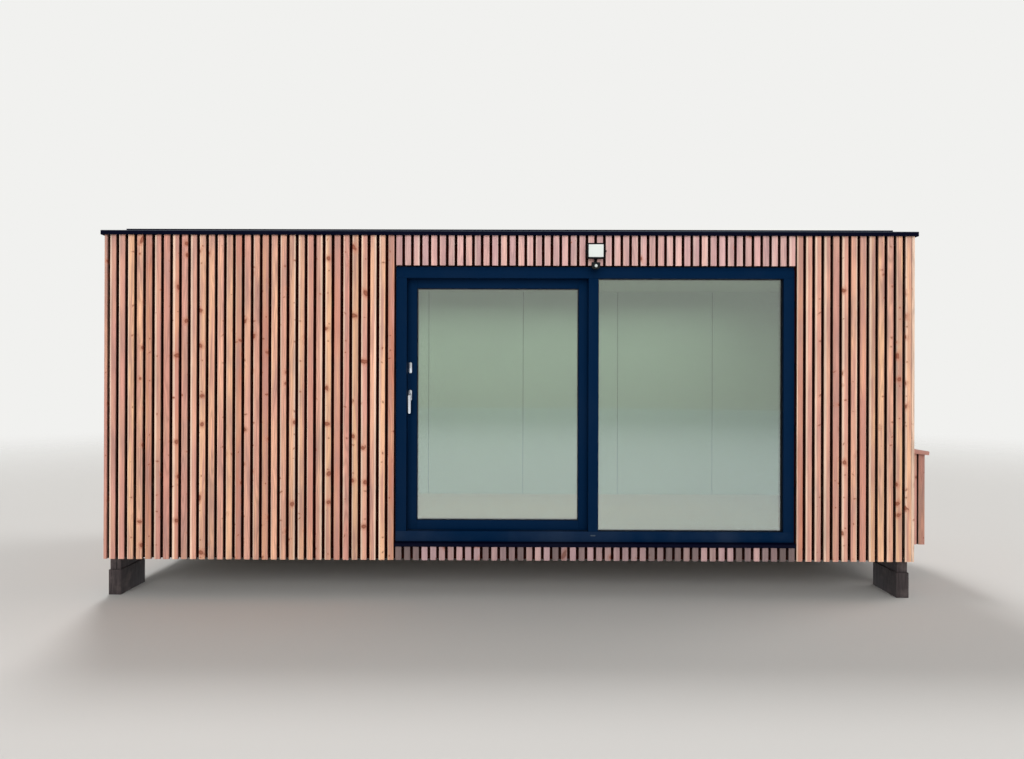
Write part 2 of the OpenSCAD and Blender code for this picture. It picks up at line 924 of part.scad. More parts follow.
// Gaskets on both faces of the glass of the sash
module sash_gaskets() {
    color(BLACK)
        place()
            for (y = [sash_glass_y - gasket_t, sash_glass_y + glass_t])
                gasket_ring(sash_x0 + sash_profile_w, sash_x1 - sash_profile_w,
                            sash_z0 + sash_profile_w, sash_z1 - sash_profile_w, y, gasket_t);
}

// Outline of a plate with rounded corners, seen from the front
module plate_outline(width, height, radius) {
    square([width, height - 2 * radius], center = true);
    square([width - 2 * radius, height], center = true);
    for (x = [-1, 1], z = [-1, 1])
        translate([x * (width / 2 - radius), z * (height / 2 - radius)]) circle(r = radius);
}

// Mirrors a piece from the outside of the sash to the inside
module both_faces() {
    middle = sash_y + sash_t / 2;
    children();
    translate([0, 2 * middle, 0]) mirror([0, 1, 0]) children();
}

module lock_plates() {
    color(ALUMINIUM)
        place()
            both_faces()
                translate([handle_x, 0, handle_z + lock_above]) {
                    along_y(sash_y - plate_t, sash_y) plate_outline(plate_w, lock_plate_h, plate_r);
                    along_y(sash_y - plate_t - lock_cylinder_out, sash_y - cut) circle(r = lock_cylinder_r);
                }
}

module handle_rosettes() {
    color(ALUMINIUM)
        place()
            both_faces()
                translate([handle_x, 0, handle_z])
                    along_y(sash_y - plate_t, sash_y)
                        difference() {
                            plate_outline(plate_w, rosette_h, plate_r);
                            circle(r = neck_r + neck_gap);
                        }
}

// Front view of the lever, which tapers from its axis down to its round tip
module lever_front() {
    tip = lever_l - lever_tip_w / 2;
    circle(d = lever_w);
    translate([0, -tip]) circle(d = lever_tip_w);
    polygon([[-lever_w / 2, 0], [lever_w / 2, 0],
             [lever_tip_w / 2, -tip], [-lever_tip_w / 2, -tip]]);
}

// Side view of the lever: a grip that bends into the neck, its outer face at 0
module lever_side() {
    bend = lever_t + lever_fillet;
    top = neck_r - bend;
    foot = -neck_r - lever_fillet;
    back = lever_t + lever_standoff;
    outer = [for (a = [180:-10:90]) [bend + bend * cos(a), top + bend * sin(a)]];
    inner = [for (a = [90:10:180]) [bend + lever_fillet * cos(a), foot + lever_fillet * sin(a)]];
    polygon(concat([[0, -lever_l]], outer, [[back, neck_r], [back, -neck_r]], inner,
                   [[lever_t, -lever_l]]));
}

// One lever with its round neck in the rosette, outside the sash
module lever() {
    lever_y = sash_y - plate_t - lever_standoff - lever_t;
    intersection() {
        along_x(-lever_w, lever_w) translate([lever_y, 0]) lever_side();
        union() {
            along_y(lever_y - cut, lever_y + lever_t + lever_fillet) lever_front();
            along_y(lever_y, sash_y) circle(r = neck_r);
        }
    }
    along_y(sash_y - plate_t - cut, sash_y - neck_gap) circle(r = neck_r);
}

// Outer and inner lever on one square spindle through the sash
module door_handle() {
    color(ALUMINIUM)
        place()
            translate([handle_x, 0, handle_z]) {
                both_faces() lever();
                along_y(sash_y - cut, sash_y + sash_t + cut) square(spindle_w, center = true);
            }
}

// Yoke on the slats, with a pin and knob on each arm and the arm of the sensor
module floodlight_bracket() {
    face_y = -cy - yoke_t;
    arm_x = lamp_w / 2 + yoke_gap;
    arm_low = sensor_top + sensor_gap;
    half_h = yoke_h / 2;
    half_arm = arm_w / 2;
    color(BLACK)
        place()
            translate([lamp_x, 0, 0]) {
                block([-arm_x - yoke_t, face_y, lamp_z - half_h], [arm_x + yoke_t, -cy, lamp_z + half_h]);
                both_ends() {
                    along_x(arm_x, arm_x + yoke_t)
                        translate([0, lamp_z]) {
                            translate([hinge_y, -half_h]) square([-cy - hinge_y, yoke_h]);
                            translate([hinge_y, 0]) circle(r = half_h);
                        }
                    along_x(lamp_w / 2 - hinge_bite, arm_x + cut)
                        translate([hinge_y, lamp_z]) circle(r = hinge_r);
                    along_x(arm_x + yoke_t - cut, arm_x + yoke_t + knob_t)
                        translate([hinge_y, lamp_z]) circle(r = knob_r);
                }
                block([-half_arm, face_y, arm_low], [half_arm, -cy, lamp_z]);
                block([-half_arm, sensor_y - half_arm, arm_low], [half_arm, -cy, arm_low + yoke_t]);
                translate([0, sensor_y, sensor_top - sensor_pin_l])
                    cylinder(h = sensor_pin_l + sensor_gap + cut, r = sensor_pin_r);
            }
}

// Housing with a rim round the light panel and cooling fins behind
module floodlight_body() {
    panel_w = lamp_w - 2 * lamp_rim;
    panel_h = lamp_h - 2 * lamp_rim;
    fin_h = lamp_h - 4 * lamp_rim;
    run = lamp_w - 2 * lamp_rim - fin_t;
    count = round(run / fin_pitch);
    color(BLACK)
        place()
            translate([lamp_x, 0, lamp_z])
                difference() {
                    union() {
                        along_y(lamp_front_y, lamp_back_y) plate_outline(lamp_w, lamp_h, lamp_r);
                        for (i = [0:count])
                            translate([-run / 2 - fin_t / 2 + i * run / count, lamp_back_y - cut, -fin_h / 2])
                                cube([fin_t, fin_d + cut, fin_h]);
                    }
                    block([-panel_w / 2, lamp_front_y - cut, -panel_h / 2],
                          [panel_w / 2, lamp_front_y + panel_t, panel_h / 2]);
                    both_ends()
                        along_x(lamp_w / 2 - hinge_bite - pin_gap, lamp_w / 2 + cut)
                            translate([hinge_y, 0]) circle(r = hinge_r + pin_gap);
                }
}

module floodlight_panel() {
    panel_w = lamp_w - 2 * lamp_rim;
    panel_h = lamp_h - 2 * lamp_rim;
    color("white")
        place()
            translate([lamp_x, 0, lamp_z])
                block([-panel_w / 2, lamp_front_y + panel_inset, -panel_h / 2],
                      [panel_w / 2, lamp_front_y + panel_t, panel_h / 2]);
}

// Housing with sloped lower corners, which hangs on the pin of the arm
module sensor_housing() {
    half_w = sensor_w / 2;
    half_d = sensor_d / 2;
    color(BLACK)
        place()
            translate([lamp_x, 0, 0])
                difference() {
                    translate([0, 0, sensor_top])
                        along_y(sensor_y - half_d, sensor_y + half_d)
                            polygon([[-half_w, 0], [half_w, 0], [half_w, sensor_slope - sensor_h],
                                     [half_w - sensor_slope, -sensor_h], [sensor_slope - half_w, -sensor_h],
                                     [-half_w, sensor_slope - sensor_h]]);
                    translate([0, sensor_y, sensor_top - sensor_pin_l - pin_gap])
                        cylinder(h = sensor_pin_l + pin_gap + cut, r = sensor_pin_r + pin_gap);
                    translate([0, sensor_y - half_d, lens_z]) sphere(r = lens_r + pin_gap);
                }
}

module sensor_lens() {
    color("white")
        place()
            translate([lamp_x, sensor_y - sensor_d / 2, lens_z])
                sphere(r = lens_r);
}

// Space above the underside of the sloping lid
module lid_cut() {
    drop = cut * tan(lid_slope);
    along_y(box_y0 - lid_out, box_y1 + lid_out)
        polygon([[cx - cut, lid_low_z + lid_rise + drop], [lid_x1 + cut, lid_low_z - drop],
                 [lid_x1 + cut, box_top + cut], [cx - cut, box_top + cut]]);
}

module utility_posts() {
    x1 = box_x1 - slat_t;
    y0 = box_y0 + slat_t;
    y1 = box_y1 - slat_t;
    color(DARK_TIMBER)
        place()
            difference() {
                for (x = [cx, x1 - box_post_w])
                    for (y = [y0, y1 - box_post_w])
                        block([x, y, under_z], [x + box_post_w, y + box_post_w, box_top]);
                lid_cut();
            }
}

// Rails between the posts, low down and under the lid, which carry the slats
module utility_rails() {
    x0 = cx + box_post_w;
    x1 = box_x1 - slat_t;
    y0 = box_y0 + slat_t;
    y1 = box_y1 - slat_t;
    color(DARK_TIMBER)
        place()
            for (z = [under_z + box_rail_end, box_lid_z - lid_t - box_rail_end - box_rail_h]) {
                for (y = [y0, y1 - box_rail_t])
                    block([x0, y, z], [x1 - box_post_w, y + box_rail_t, z + box_rail_h]);
                block([x1 - box_rail_t, y0 + box_post_w, z], [x1, y1 - box_post_w, z + box_rail_h]);
            }
}

// Slats across the front of the box, counted from its outer edge
module box_front_slats() {
    count = floor((box_reach - box_slat_w) / box_slat_pitch);
    difference() {
        for (i = [0:count])
            translate([box_x1 - box_slat_w - i * box_slat_pitch, box_y0, under_z])
                linear_extrude(box_top - under_z) slat_outline(box_slat_w);
        lid_cut();
    }
}

module utility_slats_front() {
    color(TIMBER) place() box_front_slats();
}

module utility_slats_back() {
    color(TIMBER)
        place()
            translate([0, box_y0 + box_y1, 0])
                mirror([0, 1, 0]) box_front_slats();
}

module utility_slats_side() {
    y0 = box_y0 + slat_t + joint_gap;
    run = box_w - 2 * (slat_t + joint_gap) - box_slat_w;
    count = round(run / box_slat_pitch);
    color(TIMBER)
        place()
            difference() {
                for (i = [0:count])
                    translate([box_x1, y0 + i * run / count, under_z])
                        rotate([0, 0, 90])
                            linear_extrude(box_top - under_z) slat_outline(box_slat_w);
                lid_cut();
            }
}

module utility_lid() {
    color(TIMBER)
        place()
            along_y(box_y0 - lid_out, box_y1 + lid_out)
                polygon([[cx, lid_low_z + lid_rise], [lid_x1, lid_low_z],
                         [lid_x1, box_lid_z], [cx, box_top]]);
}

support_blocks();
timber_packers();
corner_posts();
base_rails();
cross_members();
roof_rails();
floor_panel();
floor_covering();
roof_panel();
roof_sheet();
roof_kerb();
roof_trim();
front_wall_left();
front_wall_right();
front_wall_header();
back_wall();
left_wall();
right_wall();
wall_membrane();
battens();
slats_front_left();
slats_front_right();
slats_over_door();
slats_under_door();
slats_back();
slats_left();
slats_right();
door_jambs();
door_head();
door_threshold();
door_mullion();
glazing_beads();
glass_gaskets();
fixed_glass();
sill_flashing();
sash_stiles();
sash_rails();
sash_glass();
sash_gaskets();
lock_plates();
handle_rosettes();
door_handle();
floodlight_bracket();
floodlight_body();
floodlight_panel();
sensor_housing();
sensor_lens();
utility_posts();
utility_rails();
utility_slats_front();
utility_slats_side();
utility_slats_back();
utility_lid();
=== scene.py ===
import functools
import json
import math
import random

import bpy
from bpy.props import FloatProperty, FloatVectorProperty, PointerProperty
from mathutils import Matrix, Vector

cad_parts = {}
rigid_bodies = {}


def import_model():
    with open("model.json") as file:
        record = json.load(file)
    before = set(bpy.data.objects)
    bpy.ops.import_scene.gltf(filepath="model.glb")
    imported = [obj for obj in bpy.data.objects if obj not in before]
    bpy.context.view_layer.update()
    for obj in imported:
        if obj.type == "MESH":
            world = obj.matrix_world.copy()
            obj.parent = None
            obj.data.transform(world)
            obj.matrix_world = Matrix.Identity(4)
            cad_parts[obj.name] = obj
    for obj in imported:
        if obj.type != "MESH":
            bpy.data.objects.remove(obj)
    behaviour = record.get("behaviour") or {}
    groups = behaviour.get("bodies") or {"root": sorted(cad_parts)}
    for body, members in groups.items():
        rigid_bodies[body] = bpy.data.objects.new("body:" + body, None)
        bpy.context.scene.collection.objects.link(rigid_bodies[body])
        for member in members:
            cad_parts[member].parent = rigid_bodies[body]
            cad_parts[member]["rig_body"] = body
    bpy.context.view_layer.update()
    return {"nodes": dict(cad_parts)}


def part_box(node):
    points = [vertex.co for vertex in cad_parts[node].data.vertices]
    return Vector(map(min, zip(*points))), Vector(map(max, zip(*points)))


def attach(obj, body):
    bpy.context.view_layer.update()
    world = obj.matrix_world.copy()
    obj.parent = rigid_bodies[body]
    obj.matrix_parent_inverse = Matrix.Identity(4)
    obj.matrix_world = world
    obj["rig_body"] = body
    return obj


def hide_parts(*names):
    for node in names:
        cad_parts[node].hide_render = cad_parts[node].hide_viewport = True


bl_info = {
    "name": "Slatted container cabin",
    "version": (1, 0, 0),
    "blender": (4, 5, 0),
    "location": "View3D > Sidebar > Cabin",
    "description": "Dresses the frame of a container cabin in timber, glass and metal",
    "category": "Object",
}

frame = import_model()
NODES = frame["nodes"]
MM = 0.001
FRONT, BACK = Vector((0, -1, 0)), Vector((0, 1, 0))
LEFT, RIGHT = Vector((-1, 0, 0)), Vector((1, 0, 0))
# vertices that differ by less lie at one place
NEAR = 0.1 * MM
# a face whose normal has more than this share of a direction looks along it
FACING = 0.99
# what a board's vertices carry for its material: its tone, how far rain greyed it, how far grey dirt
# and painted shade darken it, if it lies, the radius in metres at which the sapwood of its log starts,
# and how far its knots show
BOARD = {"tone": 0.3, "rain": 0.0, "dirt": 0.0, "lying": 0.0, "sapwood": 1.0, "knots": 1.0}
# ranges in metres: where in the pattern of the wood a board comes from, and how far the heart of
# its log lies from a slat and from a board of the lid
ANYWHERE = (-9, 9)
HEART_REACH = (0.02, 0.11)
LID_HEART_REACH = (0.1, 0.2)
# metres from the cabin to a distant lamp, for each unit of its direction
LAMP_DISTANCE = 8


def linear(hex_colour):
    """Turn an sRGB hex colour into linear red, green, blue and alpha."""
    channels = [int(hex_colour[i:i + 2], 16) / 255 for i in (1, 3, 5)]
    return tuple(c / 12.92 if c <= 0.04045 else ((c + 0.055) / 1.055) ** 2.4 for c in channels) + (1.0,)


def colour(name, hex_colour, description):
    """Colour property with its default in hex."""
    return FloatVectorProperty(
        name=name, description=description, subtype="COLOR", size=4, min=0, max=1,
        default=linear(hex_colour))


def length(name, value, description):
    """Length property, with its default in metres."""
    return FloatProperty(name=name, description=description, default=value, unit="LENGTH", min=0)


def angle(name, degrees, description):
    """Angle property, with its default in degrees."""
    return FloatProperty(
        name=name, description=description, default=math.radians(degrees), subtype="ANGLE")


def number(name, value, description):
    """Property for a plain number, such as a strength or a share."""
    return FloatProperty(name=name, description=description, default=value)


class CabinTimber(bpy.types.PropertyGroup):
    """Sizes and colours of the slats, boards and blocks."""

    slat_radius: length("Slat radius", 2.5 * MM, "Radius of the eased front edges of a slat")
    slat_twist: angle("Slat twist", 0.5, "Largest turn of a slat about its length")
    slat_drift: length("Slat drift", 0.6 * MM, "Largest shift of a slat from its place")
    plank_w: length("Plank width", 0.19, "Width of a floor plank")
    plank_l: length("Plank length", 1.4, "Length of a floor plank")
    lid_board_w: length("Lid board width", 0.143, "Width of a board of the box lid")
    board_gap: length("Board gap", 2 * MM, "Gap between two boards")
    block_radius: length("Block radius", 4 * MM, "Radius of the worn edges of the blocks")
    straw: colour("Straw", "#E6B690", "Palest slats")
    salmon: colour("Salmon", "#E6B092", "Most of the slats")
    rose: colour("Rose", "#D69C8E", "Pinker slats")
    russet: colour("Russet", "#BC7A62", "Darkest slats")
    mauve: colour("Mauve", "#C0968C", "Greyer lengths of the slats")
    # the sapwood strips are real, but lie mostly along the left edges of the slats as a painted
    # highlight
    sapwood: colour("Sapwood", "#EFCFB8", "Strips of sapwood along the edges of slats")
    knot: colour("Knot", "#7E3C28", "Knots in the slats")
    weathered: colour("Weathered", "#D8B2B6", "Slats that rain has greyed")
    # painted shade with some grey dirt, for the slats under the door and those of the box
    dirt: colour("Dirt and shade", "#544C49", "Dirt on the lowest slats and on the box")
    floor_oak: colour("Floor oak", "#B08B62", "Floor planks")
    floor_shade: colour("Floor shade", "#96724C", "Darker floor planks")
    floor_grain: colour("Floor grain", "#7E5D3C", "Grain of the floor planks")
    floor_pore: colour("Floor pore", "#5F452C", "Pores of the floor planks")
    plywood: colour("Plywood", "#7A6448", "Deck under the planks")
    plywood_grain: colour("Plywood grain", "#5C4630", "Grain of the deck")
    old_oak: colour("Old oak", "#443C3C", "Support blocks")
    oak_fibre: colour("Oak fibre", "#282223", "Darker fibres of the support blocks")
    oak_stain: colour("Oak stain", "#5E5452", "Pale stains on the support blocks")
    oak_crack: colour("Oak crack", "#100D0E", "Cracks in the support blocks")


class CabinMetal(bpy.types.PropertyGroup):
    """Sizes and colours of the metal, plastic and rubber."""

    profile_radius: length("Profile radius", 1.6 * MM, "Radius of the edges of the door profiles")
    fold_radius: length("Fold radius", 1.0 * MM, "Radius of the edges of folded sheet")
    fitting_radius: length("Fitting radius", 1.2 * MM, "Radius of the edges of small fittings")
    cap_w: length("Cap width", 38 * MM, "Width of the drain cap")
    cap_h: length("Cap height", 10 * MM, "Height of the drain cap")
    cap_t: length("Cap thickness", 4 * MM, "Distance that the drain cap stands out")
    cap_rise: length("Cap rise", 9 * MM, "Height of the cap over the middle of the threshold")
    keyhole_w: length("Keyhole width", 2.4 * MM, "Width of a keyhole")
    keyhole_h: length("Keyhole height", 8 * MM, "Height of a keyhole")
    facet_groove: length("Facet groove", 0.2 * MM, "Half the width of the grooves of the lens")
    anthracite: colour("Anthracite", "#001C39", "Powder coat of the door")
    # also used on the sill flashing, where its near-black is painted shade
    sheet: colour("Sheet", "#020317", "Coated sheet of the roof edge")
    roof: colour("Roof", "#3A3D44", "Coated sheet of the roof")
    primer: colour("Primer", "#33363A", "Paint of the steel frame")
    silver: colour("Silver", "#FAFCFF", "Anodised handle and lock plates")
    black: colour("Black", "#0F1114", "Floodlight and sensor")
    opal: colour("Opal", "#DCE2DE", "Covers of the lamp and the sensor")
    opal_shade: colour("Opal shade", "#B4BCB6", "Edges of the prisms in the covers")
    rubber: colour("Rubber", "#0B0C0D", "Gaskets")
    cap: colour("Cap", "#3A4654", "Drain cap")
    # the pale tone of real dust, also used for the painted sheen on the threshold and the painted
    # highlight along the top fold of the trim
    dust_and_sheen: colour("Dust and sheen", "#9AA6B4", "Dust on powder coat")
    mould_grain: colour("Mould grain", "#9A9C9E", "Pale grain of plastic and rubber")


class CabinGlass(bpy.types.PropertyGroup):
    """Sizes and colours of the double glazing."""

    pane_t: length("Pane thickness", 4 * MM, "Thickness of one pane")
    pane_edge: length("Pane edge", 0.5 * MM, "Width of the ground edges of a pane")
    spacer_w: length("Spacer width", 8 * MM, "Width of the bar between the panes")
    spacer_inset: length("Spacer inset", 15 * MM, "Distance from the edge of the glass to the bar")
    tint: colour("Tint", "#E4EFE8", "Tint of the glass")
    spacer: colour("Spacer", "#1C1E20", "Bar between the panes")


class CabinRoom(bpy.types.PropertyGroup):
    """Seams and colours of the room, and colours of what lies behind the slats."""

    seam_w: length("Seam width", 6 * MM, "Width of the seams between lining panels")
    seam_set: length("Seam set-back", 1.5 * MM, "Distance of the sealant behind the lining")
    # the grey-green is partly painted light: a green cast of light from trees, on panels that are light
    # grey
    panel: colour("Panel", "#B4C4AE", "Coated lining panels")
    panel_stain: colour("Panel stain", "#8F9789", "Faint stains on the lining panels")
    sealant: colour("Sealant", "#2E352E", "Sealant in the seams of the lining")
    membrane: colour("Membrane", "#2E0A04", "Membrane behind the slats")
    membrane_fold: colour("Membrane fold", "#2A120C", "Folds of the membrane")
    batten: colour("Batten", "#1A0805", "Stained battens")
    batten_grain: colour("Batten grain", "#1E0E0A", "Grain of the battens")


class CabinStudio(bpy.types.PropertyGroup):
    """Camera, lamps, floor and walls."""

    camera_place: FloatVectorProperty(
        name="Camera place", description="Place of the camera", subtype="TRANSLATION", size=3,
        default=(-0.1587, -6.8378, 1.6286))
    lens: number("Lens", 26.384, "Focal length in millimetres")
    sensor_w: number("Sensor width", 36.0, "Width of the camera's sensor in millimetres")
    pitch: angle("Pitch", 0.08, "Upward tilt of the camera")
    yaw: angle("Yaw", 0.229, "Turn of the camera to the left")
    roll: angle("Roll", -0.176, "Tilt of the camera to its left")
    floor_radius: length("Floor radius", 40.0, "Radius of the studio floor")
    fade_start: length("Fade start", 7.0, "Distance at which the floor starts to fade")
    fade_end: length("Fade end", 22.0, "Distance at which the floor has gone")
    mirror_end: length("Mirror end", 30.0, "Distance at which the mirrored floor is dimmest")
    floor_tone: colour("Floor tone", "#CFCDCA", "Studio floor")
    mirrored_floor: colour("Mirrored floor", "#F4FAFF", "Studio floor in metal and glass")
    wall_tone: colour("Wall tone", "#F1F1EF", "Studio walls")
    wall_light: number("Wall light", 0.40, "Light of the studio walls")
    mirrored_walls: number("Mirrored walls", 0.62, "Light of the walls in metal and glass")
    front_light: number("Front light", 2.2, "Strength from the front")
    back_light: number("Back light", 1.5, "Strength from the back")
    side_light: number("Side light", 0.8, "Strength from the right")
    room_light: number("Room light", 50.0, "Watts under the ceiling")
    room_lamp_drop: length("Room lamp drop", 0.12, "Distance of the room lamp from the ceiling")
    room_lamp_l: number("Room lamp length", 0.8, "Share of the room's length that the lamp takes")
    room_lamp_w: number("Room lamp width", 0.6, "Share of the room's depth that the lamp takes")


# Modelling


def only(*objects):
    """Deselect everything, then select these objects and make the first one active."""
    bpy.ops.object.select_all(action="DESELECT")
    for item in objects:
        item.select_set(True)
    bpy.context.view_layer.objects.active = objects[0]


def made(name, operator, **settings):
    """Object that an operator adds."""
    bpy.ops.object.select_all(action="DESELECT")
    operator(**settings)
    bpy.context.object.name = name
    return bpy.context.object


def block(name, low, high):
    """Add a box from its lowest to its highest corner."""
    low, high = Vector(low), Vector(high)
    piece = made(name, bpy.ops.mesh.primitive_cube_add, size=1, location=(low + high) / 2)
    piece.scale = high - low
    bpy.ops.object.transform_apply(location=True, rotation=True, scale=True)
    return piece


def pick(piece, kind, test):
    """Select the vertices, edges or faces of a mesh that pass a test."""
    mesh = piece.data
    for parts in (mesh.vertices, mesh.edges, mesh.polygons):
        parts.foreach_set("select", [False] * len(parts))
    for part in {"VERT": mesh.vertices, "EDGE": mesh.edges, "FACE": mesh.polygons}[kind]:
        part.select = test(part)
    bpy.context.tool_settings.mesh_select_mode = (kind == "VERT", kind == "EDGE", kind == "FACE")


def shape(piece, kind, test, *steps):
    """Run edit mode operators on the chosen parts of a mesh, each given as (operator, settings)."""
    only(piece)
    pick(piece, kind, test)
    bpy.ops.object.mode_set(mode="EDIT")
    for operator, settings in steps:
        operator(**settings)
    bpy.ops.object.mode_set(mode="OBJECT")
    return piece


def ends(piece, edge):
    """Places of the two ends of an edge."""
    return [piece.data.vertices[i].co for i in edge.vertices]


def bevel(piece, test, offset, segments):
    """Round the edges of a mesh that pass a test."""
    return shape(piece, "EDGE", test,
                 (bpy.ops.mesh.bevel, dict(offset=offset, segments=segments, affect="EDGES")))


def smooth(piece, degrees=35):
    """Smooth shading across edges flatter than an angle."""
    only(piece)
    bpy.ops.object.shade_smooth_by_angle(angle=math.radians(degrees))
    return piece


def copy_of(piece, matrix):
    """Copy with a mesh of its own, moved by a matrix."""
    twin = piece.copy()
    twin.data = piece.data.copy()
    twin.data.transform(matrix)
    bpy.context.collection.objects.link(twin)
    return twin


def join(name, parts):
    """Join meshes into one piece."""
    only(*parts)
    if len(parts) > 1:
        bpy.ops.object.join()
    parts[0].name = parts[0].data.name = name
    return parts[0]


def remove(piece):
    """Delete a helper."""
    bpy.data.objects.remove(piece, do_unlink=True)


def rounded(node, radius, segments=2):
    """Copy of a rigid CAD node with merged faces and rounded edges."""
    piece = NODES[node].copy()
    piece.data = piece.data.copy()
    piece.parent = None
    for key in list(piece.keys()):
        del piece[key]
    piece.name = node + "_finished"
    bpy.context.collection.objects.link(piece)
    shape(piece, "VERT", lambda vertex: True,
          (bpy.ops.mesh.remove_doubles, dict(threshold=NEAR / 10)),
          (bpy.ops.mesh.dissolve_limited, dict(angle_limit=math.radians(0.5))))
    only(piece)
    modifier = piece.modifiers.new("edges", "BEVEL")
    modifier.width = radius
    modifier.segments = segments
    modifier.limit_method = "ANGLE"
    modifier.angle_limit = math.radians(30)
    modifier.harden_normals = False
    bpy.ops.object.modifier_apply(modifier=modifier.name)
    return smooth(piece)


def dress(piece, material, body, slot, *nodes):
    """Give a piece its material and its body, and hide the CAD nodes that it stands for; the slot is
    not used.
    """
    piece.data.materials.clear()
    piece.data.materials.append(material)
    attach(piece, body)
    if nodes:
        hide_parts(*nodes)
    return piece


def dress_rounded(nodes, radius, material, body, slot):
    """Finish CAD nodes of one material with rounded edges."""
    for node in nodes:
        dress(rounded(node, radius), material, body, slot, node)


def coat(nodes, material):
    """Give CAD nodes that stay a better material."""
    for node in nodes:
        NODES[node].data.materials.clear()
        NODES[node].data.materials.append(material)


def face_spans(node, normal, axis):
    """Extent along an axis of each face of a CAD node that looks along a normal."""
    mesh = NODES[node].data
    spans = set()
    for face in mesh.polygons:
        if face.normal.dot(normal) > FACING:
            values = [mesh.vertices[i].co[axis] for i in face.vertices]
            spans.add((round(min(values), 4), round(max(values), 4)))
    return sorted(spans)


def wall_of(node, normal):
    """Axis along a wall, axis out of it, and the place on that axis of the face that looks out."""
    along, out = (1, 0) if abs(normal.x) > 0.5 else (0, 1)
    low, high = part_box(node)
    return along, out, high[out] if normal[out] > 0 else low[out]


# Materials

SMOOTH = {"interpolation_type": "SMOOTHSTEP"}


def add(tree, kind, inputs=(), **settings):
    """Add a node with its settings, and set its inputs or link them to sockets or nodes."""
    node = tree.nodes.new("ShaderNode" + kind)
    for key, value in settings.items():
        setattr(node, key, value)
    for key, value in inputs.items() if isinstance(inputs, dict) else enumerate(inputs):
        if isinstance(value, bpy.types.Node):
            value = next(output for output in value.outputs if output.enabled)
        if isinstance(value, bpy.types.NodeSocket):
            tree.links.new(value, node.inputs[key])
        else:
            node.inputs[key].default_value = value
    return node


def makes_material(fill):
    """Turn a function that fills a node tree into one that makes a material, once under each name."""
    @functools.wraps(fill)
    def make(name, *values, **options):
        material = bpy.data.materials.get(name)
        if not material:
            material = bpy.data.materials.new(name)
            material.use_nodes = True
            material.node_tree.nodes.clear()
            place = add(material.node_tree, "TexCoord").outputs["Object"]
            fill(material.node_tree, place, *values, **options)
        return material
    return make


def surface(tree, relief, depth, tone, roughness, gloss=0.5, strength=1.0, looks=None):
    """Shader of a material, with a relief of a real depth in metres."""
    normal = add(tree, "Bump", {"Height": relief, "Distance": depth, "Strength": strength})
    shader = add(tree, "BsdfPrincipled", {
        "Base Color": tone, "Roughness": roughness, "Specular IOR Level": gloss, "Normal": normal,
        **(looks or {})})
    add(tree, "OutputMaterial", (shader,))


def pattern(tree, place, per_metre, detail=3.0, roughness=0.5):
    """Uneven pattern, with a number of patches per metre along each axis."""
    place = add(tree, "Mapping", {"Vector": place, "Scale": per_metre})
    return add(tree, "TexNoise", {"Vector": place, "Scale": 1.0, "Detail": detail,
                                  "Roughness": roughness})


def layered(tree, base, *layers):
    """Lay colours over a base, each by a share or by the range in which a pattern shows it."""
    for share, tone in layers:
        if isinstance(share, tuple):
            share = add(tree, "MapRange", share, **SMOOTH)
        base = add(tree, "Mix", {0: share, 6: base, 7: tone}, data_type="RGBA")
    return base


def rod_knots(tree, wood, ragged, per_metre, chance_from, largest):
    """Distance from rods across the grain over their radius, in one of a share of square cells."""
    x, y, z = add(tree, "SeparateXYZ", (wood,)).outputs
    across = add(tree, "Math", (x, y), operation="ADD")
    bend = add(tree, "Math", (ragged, 20 * MM, -10 * MM), operation="MULTIPLY_ADD")
    across = add(tree, "Math", (across, bend), operation="ADD")
    section = add(tree, "CombineXYZ", (across, z))
    section = add(tree, "Mapping", {"Vector": section, "Scale": (per_metre, per_metre, 1.0)})
    cells = add(tree, "TexVoronoi", {"Vector": section, "Scale": 1.0}, voronoi_dimensions="2D").outputs
    chance = add(tree, "SeparateColor", (cells["Color"],)).outputs
    # each rod leans its own way, so that the slat cuts it in an oval
    away = add(tree, "VectorMath", (section, cells["Position"]), operation="SUBTRACT")
    lean = add(tree, "Math", (chance[1], math.pi), operation="MULTIPLY")
    away = add(tree, "VectorRotate", {"Vector": away, "Angle": lean}, rotation_type="Z_AXIS")
    stretch = add(tree, "MapRange", (chance[2], 0.3, 1.0, 1.0, 0.42), **SMOOTH)
    stretch = add(tree, "CombineXYZ", (stretch, 1.0))
    away = add(tree, "VectorMath", (away, stretch), operation="MULTIPLY")
    away = add(tree, "VectorMath", (away,), operation="LENGTH").outputs["Value"]
    rim = add(tree, "MapRange", (ragged, 0.25, 0.75, 0.72, 1.3), **SMOOTH)
    away = add(tree, "Math", (away, rim), operation="MULTIPLY")
    size = add(tree, "MapRange", (chance[0], chance_from, chance_from + 0.3, 0.002,
                                  largest * per_metre), **SMOOTH)
    return add(tree, "Math", (away, size), operation="DIVIDE")


def larch_knots(tree, wood, shown):
    """Knots, the stained wood round them and their cores, each as a share."""
    ragged = pattern(tree, wood, (44, 44, 26))
    # large knots of up to 15 mm radius about 150 mm apart, and pin knots of up to 5 mm between
    large = rod_knots(tree, wood, ragged, 6.4, 0.54, 15.5 * MM)
    pins = rod_knots(tree, wood, ragged, 13.0, 0.62, 5.5 * MM)
    rims = (((large, 0.7, 1.2, 1.0, 0.0), (pins, 0.6, 1.3, 0.75, 0.0)),
            ((large, 0.8, 2.7, 1.0, 0.0), (pins, 0.8, 2.6, 0.6, 0.0)))
    shares = []
    for pair in rims:
        pair = [add(tree, "MapRange", rim, **SMOOTH) for rim in pair]
        shares.append(add(tree, "Math", pair, operation="MAXIMUM"))
    shares.append(add(tree, "MapRange", (large, 0.1, 0.7, 1.0, 0.0), **SMOOTH))
    return [add(tree, "Math", (share, shown), operation="MULTIPLY") for share in shares]


